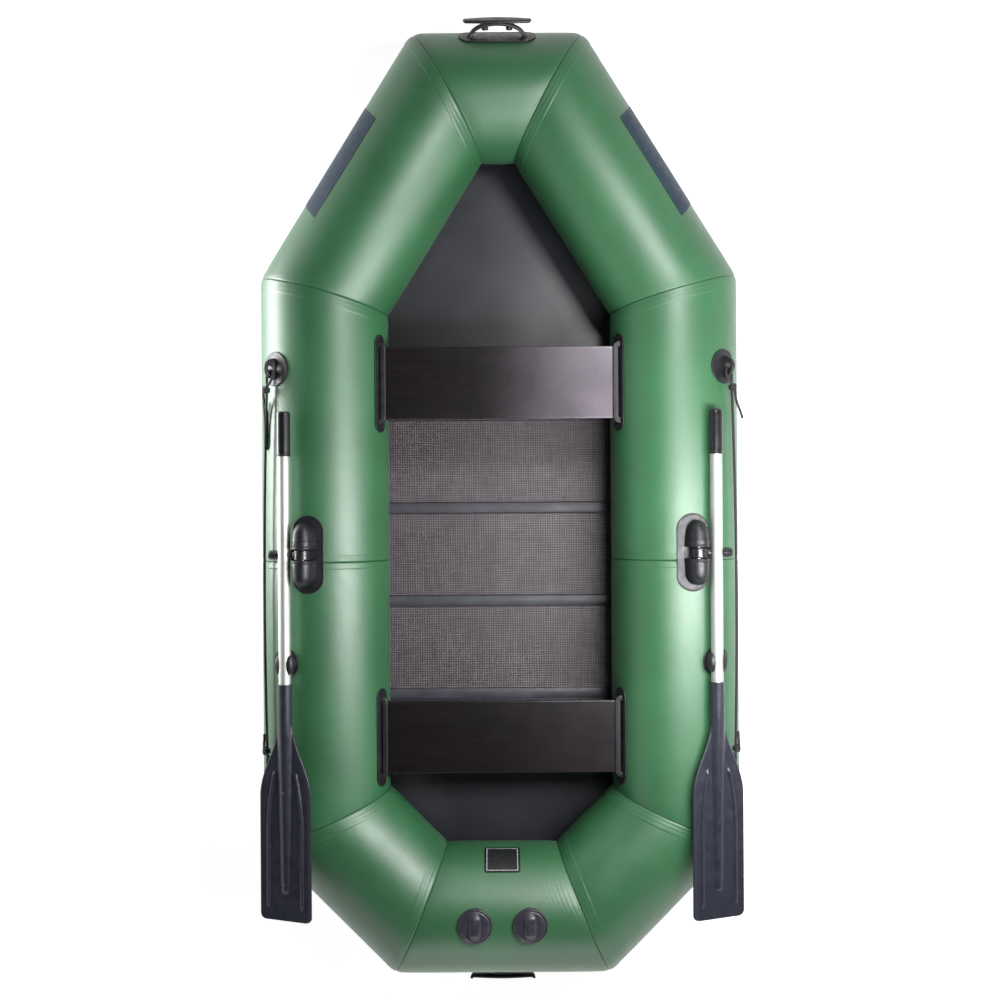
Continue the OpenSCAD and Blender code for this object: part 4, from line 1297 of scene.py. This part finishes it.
def addEye(shape, y, angle, c):
    addRoundPad(shape, y, angle, c["padRadius"], c["thick"], c["padRib"])
    up, root = offAxis(angle), onSide(y, angle, 0, 0)
    across = Vector((up.z, 0, -up.x))
    half, top = c["lugRadius"], c["lugHeight"] - c["lugRadius"]

    def outline(t, grow):  # seen from the hole: round above, straight legs flaring a little below
        dx, dy = math.cos(t), math.sin(t)
        cy, r = c["holeHeight"] - top, half + grow
        dist = -cy * dy + math.sqrt(max(0.0, (cy * dy) ** 2 - cy * cy + r * r))
        if c["holeHeight"] + dist * dy < top:
            leg = (half + grow + 0.004 * max(0.0, -dy)) / max(1e-6, abs(dx))
            dist = min(leg, (c["holeHeight"] + 0.004) / max(1e-6, -dy))
        return dist * dx, c["holeHeight"] + dist * dy

    def ringAt(kind, grow, depth):
        loop = []
        for k in range(56):
            t = 2 * math.pi * k / 56 + 0.01
            r = c["hole"] + grow
            p = (r * math.cos(t), c["holeHeight"] + r * math.sin(t)) if kind == "hole" else outline(t, grow)
            loop.append(offTube(root + Vector((0, p[0], 0)) + up * p[1] + across * depth))
        return loop

    w = c["lugThick"] / 2
    section = (("hole", 0.0, 0.0022), ("hole", 0.0007, 0.0007), ("hole", 0.0022, 0.0),
               ("out", -0.0030, 0.0), ("out", -0.0009, 0.0009), ("out", 0.0, 0.003))  # kind, growth, inset
    rings = [ringAt(kind, grow, inset - w) for kind, grow, inset in section]
    rings += [ringAt(kind, grow, w - inset) for kind, grow, inset in reversed(section)]
    addLoft(shape, rings + rings[:1], caps=(False, False))


eyes = newShape()
for y, angle in lineSet["eyes"]:
    addEye(eyes, y, angle, lineSet)
makeBothSides([("lifelineEyes", "lifeline_eyes_", eyes, blackRubber, "fittings", 48)])
print("clips and eyes made")

# the rope's bends beside an eye: millimetres along the run, round the tube and off it
hook = [
    (74, 15, 15), (56, 14.5, 15), (38, 13.5, 15), (22, 12.5, 16), (12, 11, 16),
    (5.2, 8, 16), (4.7, 0, 16), (5.2, -8, 16), (12, -11, 17), (22, -12, 18),
    (34, -8, 21), (45, 2, 24.5), (55, 12, 25), (65, 21, 21)]
freeEnd = [(80, 26, 20), (96, 35, 21), (112, 45, 23), (128, 55, 25)]
shortEnd = [(78, 24, 18), (92, 26, 17)]
loopEnd = [
    (78, 25, 16), (100, 26, 9), (130, 28, 5), (160, 30, 4), (182, 31, 4),
    (194, 34, 4), (198, 38, 4), (192, 42, 4), (176, 43, 4), (150, 42, 5),
    (120, 40, 6), (96, 37, 9), (80, 35, 12)]


def roundTube(across, off):  # an arc measured at the rope's height, brought down to the tube's surface
    return across / (tubeR * 1000 + off) * tubeR


def onEye(eye, way, steps):
    y, angle = eye
    return [onSide(y + way * along / 1000, angle, roundTube(across, off), off / 1000) for along, across, off in steps]


def ropePath(frontEnd, c):
    front, rear = c["eyes"]
    start, startAcross, startOff = hook[0]
    run = []
    for i in range(1, c["steps"]):
        u = i / c["steps"]
        hang = 4 * u * (1 - u)
        y = front[0] - start / 1000 + (rear[0] - front[0] + 2 * start / 1000) * u
        angle = front[1] + (rear[1] - front[1]) * u
        across = roundTube(startAcross + (c["sag"] - startAcross) * hang, startOff)
        run.append(onSide(y, angle, across, (startOff + (c["off"] - startOff) * hang) / 1000))
    return list(reversed(onEye(front, -1, hook + frontEnd))) + run + onEye(rear, 1, hook + shortEnd)


def smoothPath(points, step):  # a smooth curve through all the points
    out = []
    n = len(points)
    for i in range(n - 1):
        a, b, c, d = points[max(i - 1, 0)], points[i], points[i + 1], points[min(i + 2, n - 1)]
        k = max(2, int((c - b).length / step))
        for t in (j / k for j in range(k)):
            bend, twist = 2 * a - 5 * b + 4 * c - d, 3 * b - a - 3 * c + d
            out.append(0.5 * (2 * b + (c - a) * t + bend * t * t + twist * t ** 3))
    return out + [points[-1]]


def addRope(shape, points, radius, lay, sides=12):
    n = len(points)
    up, rings, far = Vector((0.7, 0, 0.7)), [], 0.0
    for i, p in enumerate(points):
        t = (points[min(i + 1, n - 1)] - points[max(i - 1, 0)]).normalized()
        up = (up - t * up.dot(t)).normalized()
        other = t.cross(up)
        far += (p - points[i - 1]).length if i else 0.0
        fat = radius * (0.55 if i in (0, n - 1) else 0.9 if i in (1, n - 2) else 1.0)
        loop = []
        for k in range(sides):
            a = 2 * math.pi * k / sides
            braid = 0.07 * math.sin(3 * a + 2 * math.pi * far / lay) * math.sin(3 * a - 2 * math.pi * far / lay)
            loop.append(p + (up * math.cos(a) + other * math.sin(a)) * fat * (0.95 + braid))
        rings.append(loop)
    return addLoft(shape, rings)


def addKnot(shape, points, at, c):  # wraps of the rope round the strands near a point of its run
    i = min(range(len(points)), key=lambda k: (points[k] - at).length)
    t = (points[min(i + 2, len(points) - 1)] - points[max(i - 2, 0)]).normalized()
    a = t.orthogonal().normalized()
    b = t.cross(a)
    wrap, steps = [], c["turns"] * 20
    for k in range(int(steps) + 1):
        f = k / steps
        s = 2 * math.pi * c["turns"] * f
        r = c["knotRadius"] * (0.8 + 0.2 * math.sin(math.pi * f))
        wrap.append(at + t * ((f - 0.5) * c["knotLength"]) + (a * math.cos(s) + b * math.sin(s)) * r)
    addRope(shape, wrap, c["rope"] * 0.95, c["lay"], sides=10)


def ropeFinish(c):
    mat, tree, shader = newFinish("ropeBraid", c["dark"], c["roughness"])
    cloth = clothMap(tree)
    braid = maths(tree, "MULTIPLY", bands(tree, "DIAGONAL", 0.0026, cloth), bands(tree, "Y", 0.0024, cloth))
    fleck = maths(tree, "MULTIPLY", between(tree, grain(tree, 380, 2), 0.62, 0.72), 0.5)
    colourOf(tree, shader, tint(tree, fleck, tint(tree, braid, c["dark"], c["light"]), c["fleck"]))
    roughOf(tree, shader, between(tree, braid, 0.0, 1.0, c["roughness"] + 0.1, c["roughness"] - 0.1))
    bump(tree, shader, braid, 0.0006, 0.7)
    return mat


def makeLifelines(c):
    finish = ropeFinish(c)
    along, across, off = c["knotAt"]
    for (mirror, tail), frontEnd in zip(bothSides, (freeEnd, loopEnd)):
        points = smoothPath(ropePath(frontEnd, c), 0.0022)
        rope = addRope(newShape(), points, c["rope"], c["lay"])
        for (y, angle), way in zip(c["eyes"], (-1, 1)):
            addKnot(rope, points, onSide(y + way * along, angle, across, off), c)
        makePiece("lifeline" + tail, rope, finish, "hull", "rope", "lifeline_" + tail.lower(), 80, mirror)


makeLifelines(lineSet)
print("lifelines made")

# moulded handles at the bow and stern
handleSet = {
    "padLength": 0.194,
    "padWidth": 0.064,
    "thick": 0.0037,
    "padRib": 0.0008,
    "span": 0.126,  # between the arch's feet
    "room": 0.029,  # under the arch
    "archThick": 0.008,
    "archWidth": 0.018,
    "ridge": (  # half of the arch's section: (across, height), both as parts of the whole
        (1.0, 0.25), (0.96, 0.8), (0.82, 1.0), (0.55, 1.06), (0.28, 0.98), (0.12, 0.84)),
    "barLength": 0.170,
    "barThick": 0.010,
    "height": 0.045,
    "middle": 0.032,  # width of the grip bar at its middle
    "ends": 0.016,
    "postAt": 0.030,
    "post": ((0.0085, 0.018), (0.0080, 0.024), (0.0072, 0.030), (0.0072, 0.038), (0.0060, 0.0395)),  # (radius, height)
    "bowAngle": 51.0,
    "sternAngle": 104.0,
}


def addArch(shape, place, c):  # two ridges side by side, legs flaring into the pad
    half = [(-x, z) for x, z in c["ridge"]]
    section = half + [(0.0, 0.78)] + list(reversed(c["ridge"]))
    section += [(0.9, 0.06), (0.6, 0.0), (0.0, 0.0), (-0.6, 0.0), (-0.9, 0.06)]
    rings = []
    for k in range(45):
        t = math.pi * k / 44
        foot = max(0.0, 1 - math.sin(t) / 0.35) ** 2
        wide = c["archWidth"] / 2 + 0.004 * foot
        sunk = 0.004 if k in (0, 44) else 0.0
        loop = []
        for across, deep in section:
            outside = deep > 0.5
            d = c["archThick"] * (deep * 0.94 + 0.35 * foot * outside)
            along = (c["span"] / 2 + d) * math.cos(t) + 0.006 * foot * (1 if t < 1.57 else -1) * outside
            loop.append(place(along, wide * across, (c["room"] + d) * math.sin(t) - sunk))
        rings.append(loop)
    addLoft(shape, rings)


def addBar(shape, place, c, hooked):
    reach = c["barLength"] / 2
    rings = []
    for k in range(61):
        x = reach * (-1 + 2 * k / 60)
        e = abs(x) / reach
        if hooked:  # straight bar with its ends turned back
            wide = c["ends"] * 0.62 + 0.0035 * (1 - e * e)
            back = -0.012 * max(0.0, (e - 0.86) / 0.14) ** 1.6
        else:  # lens shape
            wide = c["ends"] / 2 + (c["middle"] - c["ends"]) / 2 * (1 - e * e)
            back = 0.0
        tip = math.sqrt(max(0.0, 1 - max(0.0, (e - 0.93) / 0.07) ** 2))
        wide *= max(0.12, tip)
        lift = 0.0012 * max(0.0, (e - 0.9) / 0.1) - 0.0015 * e * e  # bowed down a little, its tips up
        thick = c["barThick"] * (0.42 + 0.08 * (1 - e)) * max(0.3, tip)
        loop = []
        for j in range(24):
            ca, sa = math.cos(2 * math.pi * j / 24), math.sin(2 * math.pi * j / 24)
            flat = math.copysign(abs(sa) ** 0.7, sa)
            side = math.copysign(abs(ca) ** 0.85, ca)
            rim = 0.0008 if abs(side) > 0.7 and flat > 0.2 else 0.0
            loop.append(place(x, back + wide * side, c["height"] - c["barThick"] / 2 + lift + thick * flat + rim))
        rings.append(loop)
    addLoft(shape, rings)


def makeHandle(name, cadName, angle, aft, c):
    way = -1 if aft else 1
    t = math.radians(angle)
    up = Vector((0, way * math.sin(t), math.cos(t)))
    down = Vector((0, way * math.cos(t), -math.sin(t)))
    root = Vector((0, way * (endY + tubeR * math.sin(t)), axisZ + tubeR * math.cos(t)))

    def onPad(u, v, h):
        p = onEnd(u, angle, v, h)
        return Vector((p.x, way * p.y, p.z))

    def above(u, v, h):  # u along the tube, v round it, h off it
        return root + Vector((u, 0, 0)) + down * v + up * h

    shape = newShape()
    addPad(shape, onPad, c["padLength"], c["padWidth"], c["thick"], c["padRib"], straight=20)
    addArch(shape, above, c)
    addBar(shape, above, c, aft)
    for s in (-1, 1):  # posts that carry the bar on the arch
        addTurned(shape, above(s * c["postAt"], 0, 0), up, c["post"], sides=24, side=(1, 0, 0))
    makePiece(name, shape, blackRubber, "hull", "fittings", cadName, 50)


makeHandle("bowHandle", "bow_handle", handleSet["bowAngle"], False, handleSet)
makeHandle("sternHandle", "stern_handle", handleSet["sternAngle"], True, handleSet)

# valve caps on the stern tube
valveSet = {
    "at": 0.068,
    "radius": 0.043,
    "rim": (  # (inset, height) from the disc's lower edge up and in
        (0.0006, 0.0), (0.0, 0.0006), (0.0, 0.0042), (0.0004, 0.0054), (0.0014, 0.0062), (0.0030, 0.0066),
        (0.0044, 0.0062), (0.0050, 0.0056), (0.0056, 0.0062), (0.0068, 0.0076), (0.0085, 0.0084),
        (0.0120, 0.0089), (0.0200, 0.0092), (0.0300, 0.0093)),
    "top": 0.0093,
    "notches": 24,
    "notchAt": 0.0405,
    "notch": ((0.0012, 0.0050), (0.0012, 0.0064), (0.0009, 0.0068), (0.0003, 0.0070)),  # (radius, height)
    "barLong": 0.064,
    "barWide": 0.031,
    "barHigh": 0.0085,  # above the disc
    "grey": srgb(50, 48, 58),
    "chalk": srgb(80, 78, 88),
    "roughness": 0.36,
}


def makeValves(c):
    finish = rubberFinish("valvePlastic", c["grey"], c["chalk"], c["roughness"], 1200.0, 0.00005)
    shape = newShape()
    crest, r, half = axisZ + tubeR, c["radius"], c["barWide"] / 2
    disc = [(r * (1 - k / 6), 0.0) for k in range(6)] + list(c["rim"]) + [(r, c["top"])]
    arc = [math.pi / 2 * k / 9 for k in range(1, 10)]
    dome = [(0.0, 0.0060), (-0.0012, 0.0086), (-0.0004, 0.0093)]
    dome += [(half * (1 - math.cos(t)), 0.0095 + c["barHigh"] * math.sin(t)) for t in arc]
    for x in (c["at"], -c["at"]):

        def onDisc(u, v, h):  # the disc follows the tube underneath and is flat above
            drop = tubeR - math.sqrt((tubeR + glueGap) ** 2 - v * v)
            return Vector((x + u, -endY + v, crest - drop * max(0.0, 1 - h / 0.006) + h))

        def onBar(u, v, h):  # the bar falls away toward its ends
            fall = 0.9 * max(0.0, h - 0.0095) * (abs(u) / (c["barLong"] / 2)) ** 4
            return Vector((x - v, -endY + u, crest + h - fall))

        addSlab(shape, lambda inset: stadiumLoop(2 * r, 2 * r, inset, arc=32, straight=1), onDisc, disc)
        for k in range(c["notches"]):  # grips for the key round the rim
            a = 2 * math.pi * k / c["notches"]
            spot = Vector((x + c["notchAt"] * math.cos(a), -endY + c["notchAt"] * math.sin(a), crest))
            addTurned(shape, spot, (0, 0, 1), c["notch"], sides=10, side=(1, 0, 0))
        addSlab(shape, lambda inset: stadiumLoop(c["barLong"], c["barWide"], inset), onBar, dome)
    makePiece("valveCaps", shape, finish, "hull", "fittings", "valve_caps", 50)


makeValves(valveSet)
print("handles and valves made")

# blank rating plate and blank patches
plateSet = {
    "long": 0.090,
    "wide": 0.088,
    "corner": 0.005,
    "thick": 0.0012,
    "angle": 61.5,
    "margin": 0.0055,  # pale line inside the edge
    "lineWidth": 0.0016,
    "colour": srgb(27, 29, 30),
    "line": srgb(196, 198, 198),
    "edge": srgb(18, 18, 20),
    "roughness": 0.4,
}
patchSet = {
    "long": 0.290,
    "wide": 0.100,
    "corner": 0.003,
    "thick": 0.0012,
    "angle": 56.5,
    "slant": 0.026,  # the ends are cut on the slant
    "ahead": 0.007,
    "margin": 0.0028,
    "lineWidth": 0.0012,
    "colour": srgb(12, 38, 58),
    "line": srgb(46, 84, 112),
    "edge": srgb(12, 18, 28),
    "roughness": 0.55,
}


def framedFinish(name, c):
    rough, soft = c["roughness"], 0.0002
    mat, tree, shader = newFinish(name, c["colour"], rough)
    split = node(tree, "ShaderNodeSeparateXYZ")
    tree.links.new(clothMap(tree), split.inputs[0])
    inward = []
    for axis, length in (("X", c["long"]), ("Y", c["wide"])):
        inward.append(maths(tree, "SUBTRACT", length / 2, maths(tree, "ABSOLUTE", split.outputs[axis])))
    deep = maths(tree, "MINIMUM", inward[0], inward[1])
    paler = tuple(v * 1.25 for v in c["colour"][:3]) + (1.0,)
    base = cloudy(tree, 30, 4, (0.35, 0.7), c["colour"], paler)
    outerEdge, innerEdge = c["margin"], c["margin"] + c["lineWidth"]
    onLine = maths(tree, "MULTIPLY", between(tree, deep, outerEdge - soft, outerEdge + soft),
                   between(tree, deep, innerEdge - soft, innerEdge + soft, 1.0, 0.0))
    outside = between(tree, deep, outerEdge - soft, outerEdge + soft, 1.0, 0.0)
    colourOf(tree, shader, tint(tree, outside, tint(tree, onLine, base, c["line"]), c["edge"]))
    roughDrift(tree, shader, 60, 5, rough, 0.05, 0.12)
    fine = bump(tree, shader, grain(tree, 700, 2), 0.00004, 0.5)
    bump(tree, shader, grain(tree, 40, 3), 0.0003, 0.3, fine)
    return mat


def addSticker(shape, place, c, nx, ny):  # thin sheet on the tube; its UVs are metres from its middle
    hx, hy, corner = c["long"] / 2, c["wide"] / 2, c["corner"]
    first, flat = len(shape["verts"]), []
    for h, inset in ((0.0, 0.0), (c["thick"] - glueGap, 0.0004)):
        for j in range(ny + 1):
            v = (hy - inset) * (2 * j / ny - 1)
            near, x = hy - abs(v), hx - inset
            if near < corner:
                x -= corner - math.sqrt(max(0.0, corner ** 2 - (corner - near) ** 2))
            flat += [(x * (2 * i / nx - 1), v) for i in range(nx + 1)]
            shape["verts"] += [tuple(place(u, v, h + glueGap)) for u, v in flat[-nx - 1:]]
    shape["seam"] += [1.0] * len(flat)

    def at(level, i, j):
        return first + (level * (ny + 1) + j) * (nx + 1) + i

    def face(*ids):
        shape["faces"].append(ids)
        shape["uvs"].append(tuple(flat[k - first] for k in ids))

    for j in range(ny):
        for i in range(nx):
            face(at(1, i, j), at(1, i + 1, j), at(1, i + 1, j + 1), at(1, i, j + 1))
            face(at(0, i, j + 1), at(0, i + 1, j + 1), at(0, i + 1, j), at(0, i, j))
    rim = [(i, 0) for i in range(nx)] + [(nx, j) for j in range(ny)]
    rim += [(i, ny) for i in range(nx, 0, -1)] + [(0, j) for j in range(ny, 0, -1)]
    for a, b in zip(rim, rim[1:] + rim[:1]):
        face(at(0, *a), at(0, *b), at(1, *b), at(1, *a))
    return shape


def makePlate(c):
    def place(u, v, h):
        p = onEnd(u, -c["angle"], v, h)
        return Vector((p.x, -p.y, p.z))

    shape = addSticker(newShape(), place, c, 18, 24)
    makePiece("ratingPlate", shape, framedFinish("plateFilm", c), "hull", "plate", "rating_plate", 60)


def makePatches(c):
    along, out = heading(1), outward(1)
    mid = (ring[1] + ring[2]) / 2 - along * c["ahead"]

    def place(u, v, h):
        t, q = math.radians(c["angle"]) - v / tubeR, tubeR + h
        flat = mid + along * (u + c["slant"] * v / c["wide"]) + out * (q * math.sin(t))
        return Vector((flat.x, flat.y, axisZ + q * math.cos(t)))

    shape = addSticker(newShape(), place, c, 40, 20)
    makePiece("bowPatches", mirrored(shape), framedFinish("patchCloth", c), "hull", "patches", "bow_patches", 60)


makePlate(plateSet)
makePatches(patchSet)
print("plate and patches made")

# light and ground
lightSet = {
    "lamps": {
        "keyBox": {"at": (0.74, -0.20, 1.38), "to": (0.12, -0.15, 0.1), "size": (0.26, 1.05), "power": 35},
        "bowBox": {"at": (0.46, 0.80, 1.38), "to": (0.26, 0.60, 0.1), "size": (0.20, 0.26), "power": 10.5},
        "rim": {"at": (-1.60, 0.42, 0.16), "to": (-0.45, 0.36, 0.18), "size": (1.3, 0.26), "power": 30},
        "sternBox": {"at": (0.05, -2.2, 0.85), "to": (0.0, -1.0, 0.2), "size": (1.9, 0.7), "power": 5},
    },
    "ceiling": 0.04,
    "walls": 0.5,
    "paper": 0.8,  # glow of the ground round the boat where it is the backdrop
    "fade": (2.2, 4.5),  # where that glow goes over to the full white of the far ground
    "ground": 25.0,
    "white": (0.82, 0.82, 0.82, 1),
    "offWhite": (0.8, 0.8, 0.8, 1),
}


def seenAsBackdrop(tree):
    path = node(tree, "ShaderNodeLightPath").outputs
    seen = maths(tree, "MAXIMUM", path["Is Camera Ray"], path["Is Glossy Ray"])
    return maths(tree, "MAXIMUM", seen, path["Is Transmission Ray"])


def makeLights(c):
    for name, s in c["lamps"].items():
        data = bpy.data.lights.new(name, "AREA")
        data.shape = "RECTANGLE"
        data.size, data.size_y = s["size"]
        data.energy = s["power"]
        ob = bpy.data.objects.new(name, data)
        ob.location = s["at"]
        ob.rotation_euler = (Vector(s["to"]) - Vector(s["at"])).to_track_quat("-Z", "Y").to_euler()
        ob.visible_camera = False
        scene.collection.objects.link(ob)


# even studio: pale walls, dark ceiling, and plain white where the camera looks straight at it
def makeWorld(c):
    world = bpy.data.worlds.new("studio")
    scene.world = world
    world.use_nodes = True
    tree = world.node_tree
    tree.nodes.clear()
    up = node(tree, "ShaderNodeSeparateXYZ")
    tree.links.new(node(tree, "ShaderNodeTexCoord").outputs["Generated"], up.inputs[0])
    blend = node(tree, "ShaderNodeMix", data_type="FLOAT")
    tree.links.new(seenAsBackdrop(tree), blend.inputs[0])
    tree.links.new(between(tree, up.outputs["Z"], 0.16, 0.42, c["walls"], c["ceiling"]), blend.inputs[2])
    tree.links.new(between(tree, up.outputs["Z"], 0.3, 0.6, 1.0, c["ceiling"]), blend.inputs[3])
    strength = maths(tree, "MAXIMUM", blend.outputs[0], node(tree, "ShaderNodeLightPath").outputs["Is Camera Ray"])
    sky = node(tree, "ShaderNodeBackground")
    sky.inputs["Color"].default_value = (1, 1, 1, 1)
    tree.links.new(strength, sky.inputs["Strength"])
    tree.links.new(sky.outputs[0], node(tree, "ShaderNodeOutputWorld").inputs["Surface"])


def groundFinish(c):
    mat, tree, shader = newFinish("groundPaper", c["white"], 0.9, specular=0.1)
    colourOf(tree, shader, cloudy(tree, 3, 2, (0.3, 0.7), c["white"], c["offWhite"]))
    glow = node(tree, "ShaderNodeEmission")
    glow.inputs["Color"].default_value = (1, 1, 1, 1)
    away = node(tree, "ShaderNodeVectorMath", operation="LENGTH")
    tree.links.new(placeOf(tree), away.inputs[0])
    level = between(tree, away.outputs["Value"], *c["fade"], c["paper"], 1.0)
    tree.links.new(maths(tree, "MULTIPLY", seenAsBackdrop(tree), level), glow.inputs["Strength"])
    add = node(tree, "ShaderNodeAddShader")
    tree.links.new(shader.outputs[0], add.inputs[0])
    tree.links.new(glow.outputs[0], add.inputs[1])
    tree.links.new(add.outputs[0], tree.nodes["Material Output"].inputs["Surface"])
    return mat


def makeGround(c):
    size, z = c["ground"], -0.0004  # just under the boat
    mesh = bpy.data.meshes.new("ground")
    mesh.from_pydata([(-size, -size, z), (size, -size, z), (size, size, z), (-size, size, z)], [], [(0, 1, 2, 3)])
    mesh.materials.append(groundFinish(c))
    ob = bpy.data.objects.new("ground", mesh)
    scene.collection.objects.link(ob)


makeGround(lightSet)
makeLights(lightSet)
makeWorld(lightSet)
scene.view_settings.view_transform = "Standard"
print("light and ground made")
